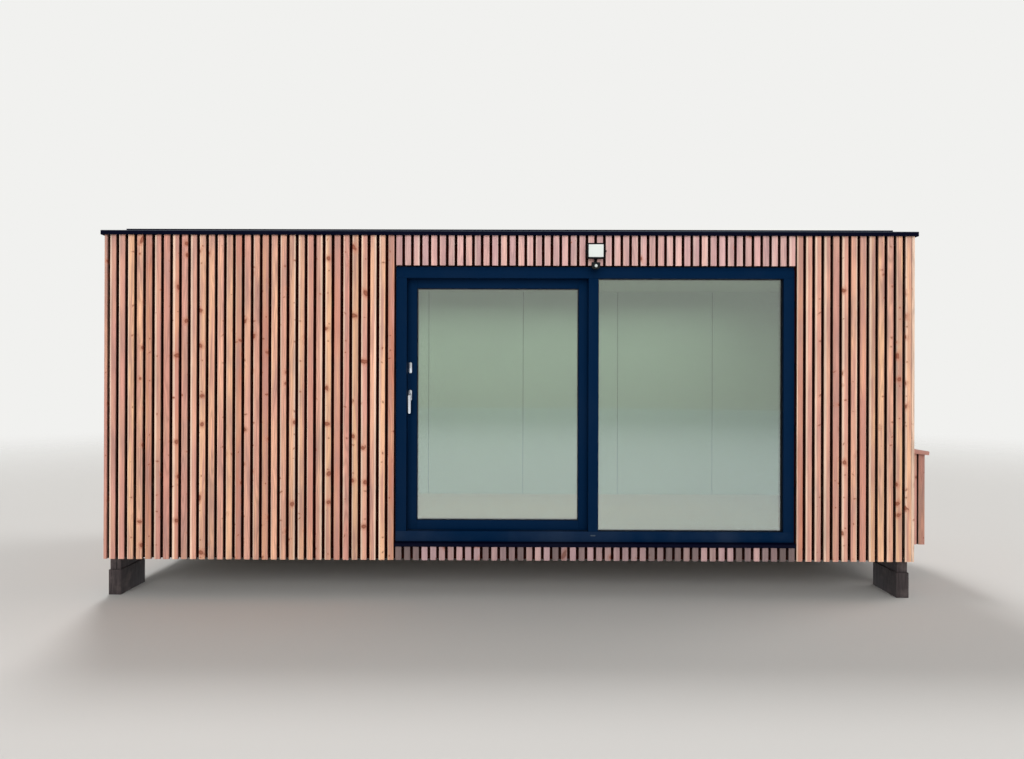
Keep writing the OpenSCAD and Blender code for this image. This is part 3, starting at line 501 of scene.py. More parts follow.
def larch_rings(tree, wood, stained, sapwood):
    """Growth rings that bend round the knots, and the share of pale sapwood outside a radius."""
    spacing = 5.6 * MM
    wander = pattern(tree, wood, (9, 9, 1.3), detail=2)
    squares = [add(tree, "Math", (part, 2.0), operation="POWER")
               for part in add(tree, "SeparateXYZ", (wood,)).outputs[:2]]
    radius = add(tree, "Math", squares, operation="ADD")
    radius = add(tree, "Math", (radius,), operation="SQRT")
    outside = add(tree, "Math", (wander, 8 * MM, radius), operation="MULTIPLY_ADD")
    outside = add(tree, "Math", (outside, sapwood), operation="SUBTRACT")
    pale = add(tree, "MapRange", (outside, 2 * MM, 6 * MM, 0.0, 0.85), **SMOOTH)
    radius = add(tree, "Math", (wander, 50 * MM, radius), operation="MULTIPLY_ADD")
    radius = add(tree, "Math", (stained, 13 * MM, radius), operation="MULTIPLY_ADD")
    rings = add(tree, "Math", (radius, 2 * math.pi / spacing), operation="MULTIPLY")
    rings = add(tree, "Math", (rings,), operation="SINE")
    rings = add(tree, "Math", (rings, 0.5, 0.5), operation="MULTIPLY_ADD")
    return add(tree, "Math", (rings, 1.6), operation="POWER"), pale


@makes_material
def planed_larch(tree, place, timber):
    """Larch, planed and oiled: growth rings, streaks, knots and a tone of its own for each slat."""
    # a board carries the heart of its log, the values of BOARD and how much painted shade each flank
    # takes in the gaps
    heart = add(tree, "Attribute", attribute_name="heart").outputs["Vector"]
    board = {key: add(tree, "Attribute", attribute_name=key).outputs["Fac"]
             for key in (*BOARD, "painted_gap_shade")}
    # the wood of a board that lies is turned, so that it runs along Y and not along Z
    turn = add(tree, "Math", (board["lying"], math.pi / 2), operation="MULTIPLY")
    wood = add(tree, "VectorRotate", {"Vector": place, "Angle": turn}, rotation_type="X_AXIS")
    wood = add(tree, "VectorMath", (wood, heart), operation="SUBTRACT")
    own = add(tree, "TexWhiteNoise", {"Vector": heart}, noise_dimensions="3D").outputs["Color"]
    knot, stained, core = larch_knots(tree, wood, board["knots"])
    rings, pale = larch_rings(tree, wood, stained, board["sapwood"])
    # fibres 1.5 mm wide, streaks 20 mm wide and half a metre long, and stains over them
    fibres = pattern(tree, wood, (700, 700, 9), detail=3, roughness=0.6)
    streaks = pattern(tree, wood, (44, 44, 1.9), detail=3, roughness=0.6)
    drift = pattern(tree, wood, (5, 5, 1.3), detail=2)
    grey = pattern(tree, wood, (12, 12, 2.1))
    ramp = add(tree, "ValToRGB", (board["tone"],))
    stops = ((0.0, timber.straw), (0.34, timber.salmon), (0.74, timber.rose), (1.0, timber.russet))
    while len(ramp.color_ramp.elements) < len(stops):
        ramp.color_ramp.elements.new(0.5)
    for element, (position, tone) in zip(ramp.color_ramp.elements, stops):
        element.position = position
        element.color = tone
    # the top half metre has weathered first, and patches of it lower down
    height = add(tree, "SeparateXYZ", (place,)).outputs[2]
    aged = add(tree, "MapRange", (height, 2.1, 2.8, 0.0, 0.14), **SMOOTH)
    aged = add(tree, "Math", (grey, aged), operation="ADD")
    base = layered(tree, ramp,
                   ((drift, 0.44, 0.68, 0.0, 0.45), timber.straw),
                   ((streaks, 0.44, 0.64, 0.0, 0.75), timber.rose),
                   ((aged, 0.48, 0.74, 0.0, 0.62), timber.mauve),
                   (pale, timber.sapwood),
                   (board["rain"], timber.weathered))
    # painted shade: the flanks inside the gaps darken towards their back, down to a tenth, as if the
    # neighbouring slats shaded them
    shade = add(tree, "Math", (rings, -0.22, 1.09), operation="MULTIPLY_ADD")
    for spread in ((fibres, 0.25, 0.75, 0.90, 1.06), (streaks, 0.3, 0.7, 1.1, 0.85),
                   (own, 0, 1, 0.82, 1.08), (grey, 0.3, 0.7, 1.07, 0.9),
                   (board["painted_gap_shade"], 0.0, 0.8, 1.0, 0.1)):
        factor = add(tree, "MapRange", spread, **SMOOTH)
        shade = add(tree, "Math", (shade, factor), operation="MULTIPLY")
    shade = add(tree, "CombineColor", (shade, shade, shade))
    base = add(tree, "Mix", {0: 1.0, 6: base, 7: shade}, data_type="RGBA", blend_type="MULTIPLY")
    for share, most, tone in ((stained, 0.6, timber.russet), (knot, 0.82, timber.knot),
                              (core, 0.35, timber.russet)):
        share = add(tree, "Math", (share, most), operation="MULTIPLY")
        base = layered(tree, base, (share, tone))
    # painted shade with some grey dirt: the slats under the door sill and those of the box are darkened
    # and greyed, as if in shade
    base = layered(tree, base, (board["dirt"], timber.dirt))
    relief = add(tree, "Math", (rings, -0.5, fibres), operation="MULTIPLY_ADD")
    surface(tree, relief, 0.25 * MM, base, 0.6, gloss=0.25, strength=0.6)


@makes_material
def weathered_oak(tree, place, timber):
    """Sawn oak left outdoors: grey-brown, split along its fibres, dark in its cracks."""
    # fibres 6 mm wide run upwards, with cracks every 30 mm
    fibres = pattern(tree, place, (160, 160, 7), detail=5, roughness=0.65)
    cracks = pattern(tree, place, (36, 36, 2.4), detail=4, roughness=0.6)
    stains = pattern(tree, place, (7, 7, 9))
    tone = layered(tree, timber.oak_fibre,
                   ((fibres, 0.3, 0.7, 0.0, 1.0), timber.old_oak),
                   ((stains, 0.46, 0.72, 0.0, 0.6), timber.oak_stain),
                   ((cracks, 0.30, 0.42, 0.85, 0.0), timber.oak_crack))
    whole = add(tree, "MapRange", (cracks, 0.3, 0.45, 0.0, 1.0), **SMOOTH)
    relief = add(tree, "Math", (whole, fibres), operation="ADD")
    surface(tree, relief, 1.5 * MM, tone, 0.9)


@makes_material
def oak_planks(tree, place, timber):
    """Oak flooring with a matt lacquer: a tone of its own for each plank, grain along X."""
    heart = add(tree, "Attribute", attribute_name="heart").outputs["Vector"]
    wood = add(tree, "VectorMath", (place, heart), operation="SUBTRACT")
    own = add(tree, "TexWhiteNoise", {"Vector": heart}, noise_dimensions="3D").outputs["Value"]
    own = add(tree, "Math", (own, 0.5), operation="MULTIPLY")
    # cathedral grain 12 mm apart with pores 1 mm wide
    spacing = 12 * MM
    warp = pattern(tree, wood, (1.2, 9, 9), detail=2)
    across = add(tree, "SeparateXYZ", (wood,)).outputs[1]
    across = add(tree, "Math", (warp, 0.1, across), operation="MULTIPLY_ADD")
    grain = add(tree, "Math", (across, 2 * math.pi / spacing), operation="MULTIPLY")
    grain = add(tree, "Math", (grain,), operation="SINE")
    pores = pattern(tree, wood, (12, 900, 900))
    tone = layered(tree, timber.floor_oak,
                   (own, timber.floor_shade),
                   ((grain, -1, 1, 0.0, 0.3), timber.floor_grain),
                   ((pores, 0.55, 0.75, 0.0, 0.35), timber.floor_pore))
    surface(tree, pores, 0.1 * MM, tone, 0.42)


@makes_material
def stained_softwood(tree, place, stain, grain_tone):
    """Sawn softwood under a dark stain: rough, with its fibres showing."""
    # fibres about 10 mm wide in every direction that a batten or post may run
    fibres = pattern(tree, place, (90, 90, 90), detail=4, roughness=0.6)
    tone = layered(tree, stain, ((fibres, 0.35, 0.7, 0.0, 0.35), grain_tone))
    surface(tree, fibres, 0.4 * MM, tone, 0.85, gloss=0.08)


@makes_material
def powder_coat(tree, place, tone, dust_and_sheen_tone, roughness=0.5, grain=1400, relief=0.06 * MM,
                dust_and_sheen_share=0.006, highlight_fold_z=None):
    """Powder coat, baked: an even satin film with a fine orange-peel texture."""
    # the texture is 1 to 3 mm wide, with broad faint dust over it, which on the threshold also stands
    # for a painted sheen
    peel = pattern(tree, place, (grain, grain, grain), detail=2)
    dust_and_sheen = pattern(tree, place, (3.1, 3.1, 2.3), detail=4)
    tone = layered(tree, tone, ((dust_and_sheen, 0.35, 0.75, 0.0, dust_and_sheen_share), dust_and_sheen_tone))
    if highlight_fold_z:
        # painted highlight: a thin pale line of the dust tone 3 to 6 mm under the top fold of a sheet,
        # where light would catch the fold
        height = add(tree, "SeparateXYZ", (place,)).outputs[2]
        tone = layered(tree, tone,
                       ((height, highlight_fold_z - 6 * MM, highlight_fold_z - 3 * MM, 0.0, 0.2), dust_and_sheen_tone))
    rough = add(tree, "MapRange", (dust_and_sheen, 0.3, 0.7, roughness - 0.05, roughness + 0.08), **SMOOTH)
    surface(tree, peel, relief, tone, rough, gloss=0.05)


def coated_sheet(name, tone, metal, roughness=0.45, highlight_fold_z=None):
    """Coil-coated sheet: a powder coat with a texture 2 mm wide."""
    return powder_coat(name, tone, metal.dust_and_sheen, roughness, grain=500, relief=0.05 * MM,
                       highlight_fold_z=highlight_fold_z)


@makes_material
def satin_aluminium(tree, place, silver):
    """Anodised aluminium, brushed along its length: bright, with soft streaks."""
    # brush marks 0.4 mm wide
    marks = pattern(tree, place, (2500, 2500, 30), detail=2)
    rough = add(tree, "MapRange", (marks, 0.3, 0.7, 0.26, 0.42), **SMOOTH)
    surface(tree, marks, 0.02 * MM, silver, rough, looks={"Metallic": 1.0})


@makes_material
def moulded(tree, place, tone, metal, roughness=0.5):
    """Moulded plastic or rubber: a fine eroded grain from its mould."""
    # grain about 1 mm wide
    eroded = pattern(tree, place, (900, 900, 900))
    tone = layered(tree, tone, ((eroded, 0.3, 0.8, 0.0, 0.03), metal.mould_grain))
    surface(tree, eroded, 0.05 * MM, tone, roughness, gloss=0.2)


@makes_material
def opal_cover(tree, place, metal):
    """Opal polycarbonate: white and smooth."""
    # a prism pattern 5 mm apart scatters the light
    prisms = add(tree, "TexVoronoi", {"Vector": place, "Scale": 200.0}).outputs["Distance"]
    tone = layered(tree, metal.opal, ((prisms, 0.0, 0.9, 0.0, 0.06), metal.opal_shade))
    surface(tree, prisms, 0.1 * MM, tone, 0.3)


@makes_material
def coated_glass(tree, place, tint):
    """Float glass with a heat-reflecting coat: clear, faintly green and rather mirror-like."""
    # rollers leave long faint waves, 0.3 to 0.5 m apart
    waves = pattern(tree, place, (2.0, 2.0, 3.5), detail=1)
    surface(tree, waves, 0.2 * MM, tint, 0.0, looks={
        "IOR": 1.52, "Transmission Weight": 1.0, "Coat Weight": 1.0, "Coat IOR": 2.0,
        "Coat Roughness": 0.0})


@makes_material
def lining_panel(tree, place, room):
    """Sandwich panel skin, coated steel: satin, with faint waves about 30 mm apart."""
    stains = pattern(tree, place, (1.2, 1.2, 1.0), detail=4)
    tone = layered(tree, room.panel, ((stains, 0.4, 0.8, 0.0, 0.12), room.panel_stain))
    waves = pattern(tree, place, (30, 30, 1.5), detail=1)
    surface(tree, waves, 0.3 * MM, tone, 0.45)


@makes_material
def wall_membrane(tree, place, room):
    """Woven wind membrane, dark red-brown: matt, with its weave just showing."""
    # threads 2 mm apart
    weave = pattern(tree, place, (500, 500, 500), detail=1)
    folds = pattern(tree, place, (4, 4, 1.5))
    tone = layered(tree, room.membrane, ((folds, 0.4, 0.8, 0.0, 0.2), room.membrane_fold))
    relief = add(tree, "Math", (weave, folds), operation="ADD")
    surface(tree, relief, 0.6 * MM, tone, 0.8, gloss=0.08)


@makes_material
def studio_floor(tree, place, studio):
    """Matt pale floor that fades into the walls with its distance from the cabin."""
    matt = add(tree, "BsdfPrincipled", {"Base Color": studio.floor_tone, "Roughness": 0.9})
    distance = add(tree, "VectorMath", (place,), operation="LENGTH").outputs["Value"]
    start = studio.fade_start
    gone = add(tree, "MapRange", (distance, start, studio.fade_end, 0.0, 1.0), **SMOOTH)
    faded = add(tree, "MixShader", (gone, matt, add(tree, "BsdfTransparent")))
    # metal and glass show the floor pale and without the cabin's shadow, and far off as dim as
    # the walls that they mirror
    ray = add(tree, "LightPath").outputs
    glossy, through = ray["Is Glossy Ray"], ray["Is Transmission Ray"]
    mirrored = add(tree, "Math", (glossy, through), operation="MAXIMUM")
    far = add(tree, "MapRange", (distance, start, studio.mirror_end, 0.0, 1.0), **SMOOTH)
    far = add(tree, "Math", (glossy, far), operation="MULTIPLY")
    strength = add(tree, "Math", (far, studio.mirrored_walls - 1, 1.0), operation="MULTIPLY_ADD")
    pale = add(tree, "Emission", {"Color": studio.mirrored_floor, "Strength": strength})
    add(tree, "OutputMaterial", (add(tree, "MixShader", (mirrored, faded, pale)),))


# Timber


def store(piece, name, values):
    """Store a number on each vertex."""
    numbers = piece.data.attributes.new(name, "FLOAT", "POINT")
    numbers.data.foreach_set("value", values)


def mark(piece, heart, **values):
    """Store the heart of a board's log, and the values of BOARD with those given here."""
    count = len(piece.data.vertices)
    vectors = piece.data.attributes.new("heart", "FLOAT_VECTOR", "POINT")
    vectors.data.foreach_set("vector", list(heart) * count)
    for name, value in {**BOARD, **values}.items():
        store(piece, name, [value] * count)


def slat_model(width, depth, height, radius):
    """One slat with its front at Y = 0 and its foot at Z = 0, its long edges eased."""
    slat = block("slat", (-width / 2, 0, 0), (width / 2, depth, height))

    def upright(edge, y):
        a, b = ends(slat, edge)
        return abs(a.z - b.z) > NEAR and abs(a.y - y) < NEAR and abs(b.y - y) < NEAR

    bevel(slat, lambda edge: upright(edge, 0), radius, segments=3)
    bevel(slat, lambda edge: upright(edge, depth), radius / 2, segments=1)
    # painted shade: each vertex stores how far back along the flank it lies, which darkens the flanks
    # in the gaps
    store(slat, "painted_gap_shade", [vertex.co.y / depth for vertex in slat.data.vertices])
    return smooth(slat, degrees=40)


def bare_flank(slat, axis, middle, side):
    """Take the painted gap shade off the outer flank of a corner slat, which no other slat shades."""
    painted_gap_shade = slat.data.attributes["painted_gap_shade"].data
    for vertex, value in zip(slat.data.vertices, painted_gap_shade):
        if (vertex.co[axis] - middle) * side > 0:
            value.value = 0.0


def log_heart(draw, place):
    """Place of the heart of a slat's log, more often to the right of the slat, so that its pale sapwood
    lies more often along the left edge as a painted highlight.
    """
    turn = draw.triangular(-math.pi, math.pi, 0)
    away = draw.uniform(*HEART_REACH)
    return place + Vector((away * math.cos(turn), away * math.sin(turn), draw.uniform(*ANYWHERE)))


def sapwood_start(draw, place, heart, axis, width):
    """Radius of the log at which the sapwood starts, on the edge of a slat or a little inside."""
    edges = []
    for side in (-1, 1):
        edge = place.to_2d()
        edge[axis] += side * width / 2
        edges.append((edge - heart.to_2d()).length)
    return max(edges) - draw.uniform(0.0, 0.4) * (max(edges) - min(edges))


def slat_field(timber, node, normal, tones, rain=0.0, dirt=0.0, knotty=0.8, bare_ends=False,
               cut=None):
    """Slats in place of a CAD node, each with its own tone, twist and drift."""
    axis, out, front = wall_of(node, normal)
    low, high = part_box(node)
    spans = face_spans(node, normal, axis)
    # a CAD slat is wider than its outer face by the ease of both its edges
    ease = spans[0][0] - low[axis]
    width = spans[0][1] - spans[0][0] + 2 * ease
    slat = slat_model(width, high[out] - low[out], high.z - low.z, timber.slat_radius)
    turn = FRONT.to_2d().angle_signed(normal.to_2d())
    draw = random.Random(node)
    slats = []
    for start, stop in spans:
        place = Vector((0, 0, low.z + draw.uniform(-1, 1) * timber.slat_drift))
        place[axis] = (start + stop) / 2
        place[out] = front + draw.uniform(-1, 1) * timber.slat_drift
        twist = -turn + draw.uniform(-1, 1) * timber.slat_twist
        twin = copy_of(slat, Matrix.Translation(place) @ Matrix.Rotation(twist, 4, "Z"))
        heart = log_heart(draw, place)
        sapwood = sapwood_start(draw, place, heart, axis, width)
        dirt_and_shade_share = dirt * draw.uniform(0.4, 1.4) if dirt else 0.0
        mark(twin, heart, tone=draw.uniform(*tones), rain=rain * draw.uniform(0.8, 1.1),
             dirt=dirt_and_shade_share, sapwood=sapwood, knots=float(draw.random() < knotty))
        if bare_ends and (start, stop) in (spans[0], spans[-1]):
            bare_flank(twin, axis, place[axis], -1 if (start, stop) == spans[0] else 1)
        slats.append(twin)
    remove(slat)
    piece = join(node + "_timber", slats)
    if cut:
        shape(piece, "VERT", lambda vertex: True,
              (bpy.ops.mesh.bisect, dict(plane_co=cut[0], plane_no=cut[1], use_fill=True,
                                         clear_outer=True)))
    larch = planed_larch("planed_larch", timber)
    return dress(piece, larch, NODES[node]["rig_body"], "larch_slat", node)


class CABIN_OT_cladding(bpy.types.Operator):
    """Make the upright slats on all four sides of the cabin"""

    bl_idname = "cabin.cladding"
    bl_label = "Cladding"

    def execute(self, context):
        timber = context.scene.cabin_timber
        mixed = (0.0, 1.0)
        for node in ("slats_front_left", "slats_front_right"):
            slat_field(timber, node, FRONT, mixed)
        slat_field(timber, "slats_over_door", FRONT, mixed, rain=0.6, knotty=0.1)
        # the slats under the door sill take painted shade with some grey dirt
        slat_field(timber, "slats_under_door", FRONT, mixed, rain=0.86, dirt=0.64)
        slat_field(timber, "slats_back", BACK, mixed)
        slat_field(timber, "slats_left", LEFT, mixed, bare_ends=True)
        slat_field(timber, "slats_right", RIGHT, mixed, bare_ends=True)
        room = context.scene.cabin_room
        coat(["wall_membrane"], wall_membrane("wind_membrane", room))
        coat(["battens"], stained_softwood("dark_softwood", room.batten, room.batten_grain))
        return {"FINISHED"}


class CABIN_OT_utility_box(bpy.types.Operator):
    """Make the slats, posts and boarded lid of the utility box"""

    bl_idname = "cabin.utility_box"
    bl_label = "Utility box"

    def execute(self, context):
        timber = context.scene.cabin_timber
        room = context.scene.cabin_room
        # the slats of the box are cut along the underside of its lid
        lid = NODES["utility_lid"].data
        under = max(lid.polygons, key=lambda face: -face.normal.z)
        cut = (lid.vertices[under.vertices[0]].co.copy(), -under.normal)
        fields = (("utility_slats_front", FRONT), ("utility_slats_side", RIGHT),
                  ("utility_slats_back", BACK))
        for node, normal in fields:
            # the box's slats take the darker, redder tones and painted shade with some grey dirt
            slat_field(timber, node, normal, (0.7, 1.0), dirt=0.3, bare_ends=normal == RIGHT, cut=cut)
        material = stained_softwood("dark_softwood", room.batten, room.batten_grain)
        coat(["utility_posts", "utility_rails"], material)
        self.lid_boards(timber, -under.normal)
        return {"FINISHED"}

    def lid_boards(self, timber, upward):
        """Boards along Y that cover the slope of the lid."""
        low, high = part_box("utility_lid")
        slope = math.atan2(upward.x, upward.z)
        run = (high.x - low.x) / math.cos(slope)
        count = round(run / timber.lid_board_w)
        width = (run - (count - 1) * timber.board_gap) / count
        rise = (high.x - low.x) * math.tan(slope)
        thick = (high.z - low.z - rise) * math.cos(slope)
        board = block("board", (0, low.y, -thick), (width, high.y, 0))
        bevel(board, lambda edge: True, timber.slat_radius, segments=2)
        smooth(board, degrees=40)
        draw = random.Random("lid")
        boards = []
        for i in range(count):
            start = i * (width + timber.board_gap)
            place = Matrix.Translation((low.x, 0, high.z)) @ Matrix.Rotation(slope, 4, "Y")
            twin = copy_of(board, place @ Matrix.Translation((start, 0, 0)))
            # the wood of the board is turned, so that Y of the heart is its height downwards
            heart = (low.x + start + draw.uniform(*LID_HEART_REACH),
                     -low.z - draw.uniform(*LID_HEART_REACH), draw.uniform(*ANYWHERE))
            # the lid boards take painted shade with some grey dirt, as the box's slats do
            mark(twin, heart, tone=0.85, rain=0.1, dirt=0.24, lying=1.0)
            boards.append(twin)
        remove(board)
        piece = join("utility_lid_boards", boards)
        dress(piece, planed_larch("planed_larch", timber), "cabin", "larch_slat", "utility_lid")


class CABIN_OT_supports(bpy.types.Operator):
    """Make the support blocks and packers under the corners"""

    bl_idname = "cabin.supports"
    bl_label = "Supports"

    def execute(self, context):
        timber = context.scene.cabin_timber
        material = weathered_oak("weathered_oak", timber)
        for node, slot in (("support_blocks", "weathered_timber"), ("timber_packers", "packer_timber")):
            dress_rounded([node], timber.block_radius, material, "cabin", slot)
        return {"FINISHED"}


class CABIN_OT_floor(bpy.types.Operator):
    """Make the floor planks and the deck below them"""

    bl_idname = "cabin.floor"
    bl_label = "Floor"

    def execute(self, context):
        timber = context.scene.cabin_timber
        low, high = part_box("floor_covering")
        rows = round((high.y - low.y) / timber.plank_w)
        width = (high.y - low.y) / rows
        gap = timber.board_gap / 4
        shortest = 5 * timber.board_gap
        draw = random.Random("floor")
        planks = []
        for row in range(rows):
            y0 = low.y + row * width
            start = low.x - draw.uniform(0, 1) * timber.plank_l
            while start < high.x:
                x0, x1 = max(start, low.x), min(start + timber.plank_l, high.x)
                start += timber.plank_l
                if x1 - x0 < shortest:
                    continue
                plank = block("plank", (x0 + gap, y0 + gap, low.z),
                              (x1 - gap, y0 + width - gap, high.z))
                bevel(plank, lambda edge: all(end.z > high.z - MM for end in ends(plank, edge)),
                      timber.board_gap / 2, segments=1)
                mark(plank, [draw.uniform(*ANYWHERE) for axis in "XYZ"])
                planks.append(plank)
        piece = join("floor_planks", planks)
        oak = oak_planks("lacquered_oak", timber)
        dress(piece, oak, "cabin", "floor_boards", "floor_covering")
        deck = stained_softwood("birch_plywood", timber.plywood, timber.plywood_grain)
        coat(["floor_panel"], deck)
        return {"FINISHED"}


# Metal, glass and fittings


class CABIN_OT_door_frame(bpy.types.Operator):
    """Finish the fixed frame of the sliding door with its sill and drain cap"""

    bl_idname = "cabin.door_frame"
    bl_label = "Door frame"

    def execute(self, context):
        metal = context.scene.cabin_metal
        material = powder_coat("anthracite_powder_coat", metal.anthracite, metal.dust_and_sheen)
        profiles = ["door_jambs", "door_head", "door_mullion"]
        dress_rounded(profiles, metal.profile_radius, material, "cabin", "anthracite_frame")
        # painted sheen: a larger share of the pale dust tone lightens the threshold over some real
        # dust, as if it caught the light of the sky
        dust_and_sheen_coat = powder_coat("dust_and_sheen_powder_coat", metal.anthracite, metal.dust_and_sheen, dust_and_sheen_share=0.035)
        dress_rounded(["door_threshold"], metal.profile_radius, dust_and_sheen_coat, "cabin", "anthracite_frame")
        # painted shade: the sill flashing takes the near-black sheet of the roof edge, standing in for
        # the shadow under the sill
        sheet = coated_sheet("coated_sheet", metal.sheet, metal)
        dress_rounded(["sill_flashing"], metal.fold_radius, sheet, "cabin", "anthracite_frame")
        coat(["glazing_beads"], material)
        coat(["glass_gaskets"], moulded("gasket_rubber", metal.rubber, metal, roughness=0.6))
        self.drain_cap(metal)
        return {"FINISHED"}

    def drain_cap(self, metal):
        """Hooded cap over the drain slot below the mullion."""
        low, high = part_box("door_mullion")
        frame_low, frame_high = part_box("door_threshold")
        middle_x = (low.x + high.x) / 2
        middle_z = (frame_low.z + frame_high.z) / 2 + metal.cap_rise
        half_w, half_h = metal.cap_w / 2, metal.cap_h / 2
        front = frame_low.y - metal.cap_t
        cap = block("drain_cap", (middle_x - half_w, front, middle_z - half_h),
                    (middle_x + half_w, frame_low.y, middle_z + half_h))
        bevel(cap, lambda edge: abs(ends(cap, edge)[0].y - ends(cap, edge)[1].y) > MM,
              0.98 * half_h, segments=4)
        bevel(cap, lambda edge: all(abs(end.y - front) < NEAR for end in ends(cap, edge)),
              metal.fitting_radius, segments=2)
        plastic = moulded("cap_plastic", metal.cap, metal, roughness=0.45)
        dress(smooth(cap), plastic, "cabin", "anthracite_frame")


class CABIN_OT_door_sash(bpy.types.Operator):
    """Finish the profiles of the sliding sash"""

    bl_idname = "cabin.door_sash"
    bl_label = "Door sash"

    def execute(self, context):
        metal = context.scene.cabin_metal
        material = powder_coat("anthracite_powder_coat", metal.anthracite, metal.dust_and_sheen)
        profiles = ["sash_stiles", "sash_rails"]
        dress_rounded(profiles, metal.profile_radius, material, "door_sash", "anthracite_frame")
        coat(["sash_gaskets"], moulded("gasket_rubber", metal.rubber, metal, roughness=0.6))
        return {"FINISHED"}


class CABIN_OT_glazing(bpy.types.Operator):
    """Make the double glazing of the sash and of the fixed light"""

    bl_idname = "cabin.glazing"
    bl_label = "Glazing"

    def execute(self, context):
        glass = context.scene.cabin_glass
        metal = context.scene.cabin_metal
        for node in ("fixed_glass", "sash_glass"):
            body = NODES[node]["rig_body"]
            low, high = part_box(node)
            outer = block("pane", low, (high.x, low.y + glass.pane_t, high.z))
            inner = block("pane", (low.x, high.y - glass.pane_t, low.z), high)
            for pane in (outer, inner):
                bevel(pane, lambda edge: True, glass.pane_edge, segments=1)
            panes = join(node + "_panes", [outer, inner])
            dress(panes, coated_glass("coated_glass", glass.tint), body, "door_glass", node)
            inset = glass.spacer_inset
            spacer = block(node + "_spacer",
                           (low.x + inset, low.y + glass.pane_t, low.z + inset),
                           (high.x - inset, high.y - glass.pane_t, high.z - inset))
            shape(spacer, "FACE", lambda face: abs(face.normal.y) > FACING,
                  (bpy.ops.mesh.inset, dict(thickness=glass.spacer_w, use_individual=True)),
                  (bpy.ops.mesh.bridge_edge_loops, dict()))
            dress(spacer, moulded("spacer_bar", glass.spacer, metal), body, "rubber_gasket")
        return {"FINISHED"}


class CABIN_OT_handle(bpy.types.Operator):
    """Finish the lever, the rosettes and the lock plates, and cut the keyholes"""

    bl_idname = "cabin.handle"
    bl_label = "Handle and lock"

    def execute(self, context):
        metal = context.scene.cabin_metal
        material = satin_aluminium("satin_aluminium", metal.silver)
        radius = metal.fitting_radius
        lever = rounded("door_handle", 2 * radius, segments=3)
        dress(lever, material, "door_lever", "bright_aluminium", "door_handle")
        dress_rounded(["handle_rosettes"], radius, material, "door_sash", "bright_aluminium")
        plates = rounded("lock_plates", radius)
        low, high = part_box("lock_plates")
        middle = (low + high) / 2
        half_w, half_h = metal.keyhole_w / 2, metal.keyhole_h / 2
        slot = block("key_slot", (middle.x - half_w, low.y - MM, middle.z - half_h),
                     (middle.x + half_w, high.y + MM, middle.z + half_h))
        cutter = plates.modifiers.new("keyhole", "BOOLEAN")
        cutter.object = slot
        only(plates)
        bpy.ops.object.modifier_apply(modifier=cutter.name)
        remove(slot)
        dress(plates, material, "door_sash", "bright_aluminium", "lock_plates")
        return {"FINISHED"}


class CABIN_OT_floodlight(bpy.types.Operator):
    """Finish the floodlight, its yoke and the motion sensor"""

    bl_idname = "cabin.floodlight"
    bl_label = "Floodlight and sensor"

    def execute(self, context):
        metal = context.scene.cabin_metal
        radius = metal.fitting_radius
        cast = powder_coat("cast_housing", metal.black, metal.dust_and_sheen, grain=900, relief=0.1 * MM)
        dress_rounded(["floodlight_bracket"], radius / 2, cast, "cabin", "lamp_housing")
        dress_rounded(["floodlight_body"], radius / 2, cast, "floodlight", "lamp_housing")
        opal = opal_cover("opal_cover", metal)
        dress_rounded(["floodlight_panel"], radius / 2, opal, "floodlight", "lamp_diffuser")
        plastic = moulded("moulded_housing", metal.black, metal)
        dress_rounded(["sensor_housing"], 2 * radius, plastic, "motion_sensor", "sensor_plastic")
        self.lens(metal)
        return {"FINISHED"}

    def lens(self, metal):
        """Ball lens of shallow facets with fine grooves between them."""
        low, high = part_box("sensor_lens")
        lens = made("sensor_lens_ball", bpy.ops.mesh.primitive_ico_sphere_add, subdivisions=3,
                    radius=(high.x - low.x) / 2, location=(low + high) / 2)
        bpy.ops.object.transform_apply(location=True, rotation=True, scale=True)
        groove = metal.facet_groove
        shape(lens, "FACE", lambda face: True,
              (bpy.ops.mesh.inset, dict(thickness=groove, use_individual=True)),
              (bpy.ops.transform.shrink_fatten, dict(value=-groove / 2)))
        dress(lens, opal_cover("lens_cover", metal), "motion_sensor", "lamp_diffuser", "sensor_lens")


class CABIN_OT_roof(bpy.types.Operator):
    """Finish the roof sheet, the kerb and the trim"""

    bl_idname = "cabin.roof"
    bl_label = "Roof"

    def execute(self, context):
        metal = context.scene.cabin_metal
        material = coated_sheet("coated_sheet", metal.sheet, metal)
        dress_rounded(["roof_kerb"], metal.fold_radius, material, "cabin", "roof_metal")
        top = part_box("roof_trim")[1].z
        # painted highlight along the top fold of the trim
        folded = coated_sheet("trim_coat_painted_highlight", metal.sheet, metal, highlight_fold_z=top)
        dress_rounded(["roof_trim"], metal.fold_radius, folded, "cabin", "roof_metal")
        coat(["roof_sheet"], coated_sheet("roof_sheet_coat", metal.roof, metal, roughness=0.4))
        return {"FINISHED"}


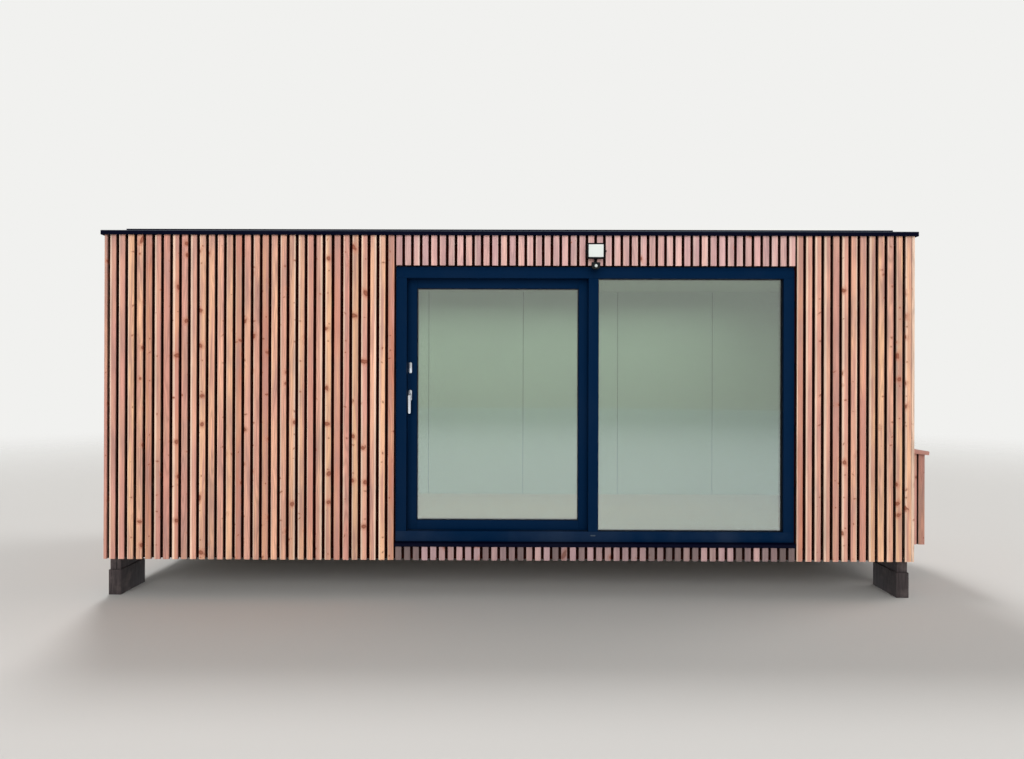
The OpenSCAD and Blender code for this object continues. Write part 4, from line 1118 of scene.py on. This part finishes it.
class CABIN_OT_shell(bpy.types.Operator):
    """Finish the steel frame, the walls and the ceiling"""

    bl_idname = "cabin.shell"
    bl_label = "Frame and walls"

    def execute(self, context):
        room = context.scene.cabin_room
        metal = context.scene.cabin_metal
        steel = powder_coat("frame_paint", metal.primer, metal.dust_and_sheen, grain=300, relief=0.1 * MM)
        coat(["corner_posts", "base_rails", "cross_members", "roof_rails"], steel)
        panels = ["front_wall_left", "front_wall_right", "front_wall_header", "back_wall",
                  "left_wall", "right_wall", "roof_panel"]
        coat(panels, lining_panel("lining_panel", room))
        sealant = moulded("seam_sealant", room.sealant, metal, roughness=0.6)
        dress(self.seams(room), sealant, "cabin", "rubber_gasket")
        return {"FINISHED"}

    def seams(self, room):
        """Bead of sealant in each seam of the wall lining, set back from its face."""
        walls = (("back_wall", FRONT), ("left_wall", RIGHT), ("right_wall", LEFT),
                 ("front_wall_left", BACK), ("front_wall_header", BACK))
        beads = []
        for node, normal in walls:
            axis, out, face = wall_of(node, normal)
            back = -normal[out] * room.seam_set
            for start, stop in face_spans(node, normal, axis):
                # the bottom of a seam is narrow, and the other faces are panels
                if stop - start > 5 * room.seam_w:
                    continue
                low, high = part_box(node)
                low[axis], high[axis] = start, stop
                low[out], high[out] = sorted((face + back, face + 2 * back))
                bead = block("bead", low, high)
                bevel(bead, lambda edge: True, 0.4 * room.seam_set, segments=2)
                beads.append(bead)
        return smooth(join("lining_sealant", beads))


class CABIN_OT_stage(bpy.types.Operator):
    """Make the pale floor and walls, the soft lamps and the camera"""

    bl_idname = "cabin.stage"
    bl_label = "Stage"

    def execute(self, context):
        studio = context.scene.cabin_studio
        self.floor(studio)
        self.walls(studio)
        self.lamp("front_lamp", studio.front_light, towards=(0.0, -1.0, 0.26), degrees=50)
        self.lamp("back_lamp", studio.back_light, towards=(-0.21, 0.63, 1.0), degrees=14)
        self.lamp("side_lamp", studio.side_light, towards=(1.0, 0.3, 0.9), degrees=30)
        self.room_lamp(studio)
        turn = (math.pi / 2 + studio.pitch, studio.roll, studio.yaw)
        camera = made("Camera", bpy.ops.object.camera_add, location=studio.camera_place, rotation=turn)
        camera.data.lens = studio.lens
        camera.data.sensor_width = studio.sensor_w
        camera.data.sensor_fit = "HORIZONTAL"
        context.scene.camera = camera
        context.scene.view_settings.view_transform = "Standard"
        return {"FINISHED"}

    def floor(self, studio):
        """Round pale floor."""
        floor = made("studio_floor", bpy.ops.mesh.primitive_circle_add, vertices=128,
                     radius=studio.floor_radius, fill_type="NGON", location=(0, 0, 0))
        floor.data.materials.append(studio_floor("studio_floor", studio))

    def walls(self, studio):
        """Pale walls all round, dimmer as a lamp than they look."""
        world = bpy.data.worlds.new("studio_walls")
        world.use_nodes = True
        tree = world.node_tree
        tree.nodes.clear()
        ray = add(tree, "LightPath").outputs
        glossy, through = ray["Is Glossy Ray"], ray["Is Transmission Ray"]
        seen = add(tree, "Math", (glossy, through), operation="MAXIMUM")
        seen = add(tree, "Math", (ray["Is Camera Ray"], seen), operation="MAXIMUM")
        lit = add(tree, "Background", {"Color": studio.wall_tone, "Strength": studio.wall_light})
        # what metal and glass mirror of the walls is dimmer than the floor
        strength = add(tree, "Math", (glossy, studio.mirrored_walls - 1, 1.0), operation="MULTIPLY_ADD")
        shown = add(tree, "Background", {"Color": studio.wall_tone, "Strength": strength})
        add(tree, "OutputWorld", (add(tree, "MixShader", (seen, lit, shown)),))
        bpy.context.scene.world = world

    def lamp(self, name, strength, towards, degrees):
        """Distant soft lamp in a direction, as wide as an angle."""
        away = LAMP_DISTANCE * Vector(towards)
        lamp = made(name, bpy.ops.object.light_add, type="SUN", location=away)
        lamp.data.angle = math.radians(degrees)
        lamp.data.energy = strength
        lamp.rotation_euler = away.to_track_quat("Z", "Y").to_euler()
        lamp.visible_glossy = lamp.visible_transmission = False

    def room_lamp(self, studio):
        """Wide soft lamp under the ceiling, which shows the room through the glass."""
        low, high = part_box("floor_covering")
        middle = (low + high) / 2
        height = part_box("roof_panel")[0].z - studio.room_lamp_drop
        lamp = made("room_lamp", bpy.ops.object.light_add, type="AREA",
                    location=(middle.x, middle.y, height))
        lamp.data.shape = "RECTANGLE"
        lamp.data.size = studio.room_lamp_l * (high.x - low.x)
        lamp.data.size_y = studio.room_lamp_w * (high.y - low.y)
        lamp.data.energy = studio.room_light
        lamp.visible_camera = lamp.visible_glossy = lamp.visible_transmission = False


OPERATORS = (
    CABIN_OT_supports, CABIN_OT_shell, CABIN_OT_floor, CABIN_OT_cladding, CABIN_OT_utility_box,
    CABIN_OT_door_frame, CABIN_OT_door_sash, CABIN_OT_glazing, CABIN_OT_handle,
    CABIN_OT_floodlight, CABIN_OT_roof, CABIN_OT_stage,
)


class CABIN_PT_panel(bpy.types.Panel):
    """List of the pieces of the cabin"""

    bl_idname = "CABIN_PT_panel"
    bl_label = "Container cabin"
    bl_space_type = "VIEW_3D"
    bl_region_type = "UI"
    bl_category = "Cabin"

    def draw(self, context):
        for operator in OPERATORS:
            self.layout.operator(operator.bl_idname)


GROUPS = {
    "cabin_timber": CabinTimber, "cabin_metal": CabinMetal, "cabin_glass": CabinGlass,
    "cabin_room": CabinRoom, "cabin_studio": CabinStudio,
}
CLASSES = (*GROUPS.values(), *OPERATORS, CABIN_PT_panel)


def register():
    for item in CLASSES:
        bpy.utils.register_class(item)
    for name, group in GROUPS.items():
        setattr(bpy.types.Scene, name, PointerProperty(type=group))


def unregister():
    for name in GROUPS:
        delattr(bpy.types.Scene, name)
    for item in reversed(CLASSES):
        bpy.utils.unregister_class(item)


def main():
    register()
    for operator in OPERATORS:
        category, name = operator.bl_idname.split(".")
        getattr(getattr(bpy.ops, category), name)()


if __name__ == "__main__":
    main()
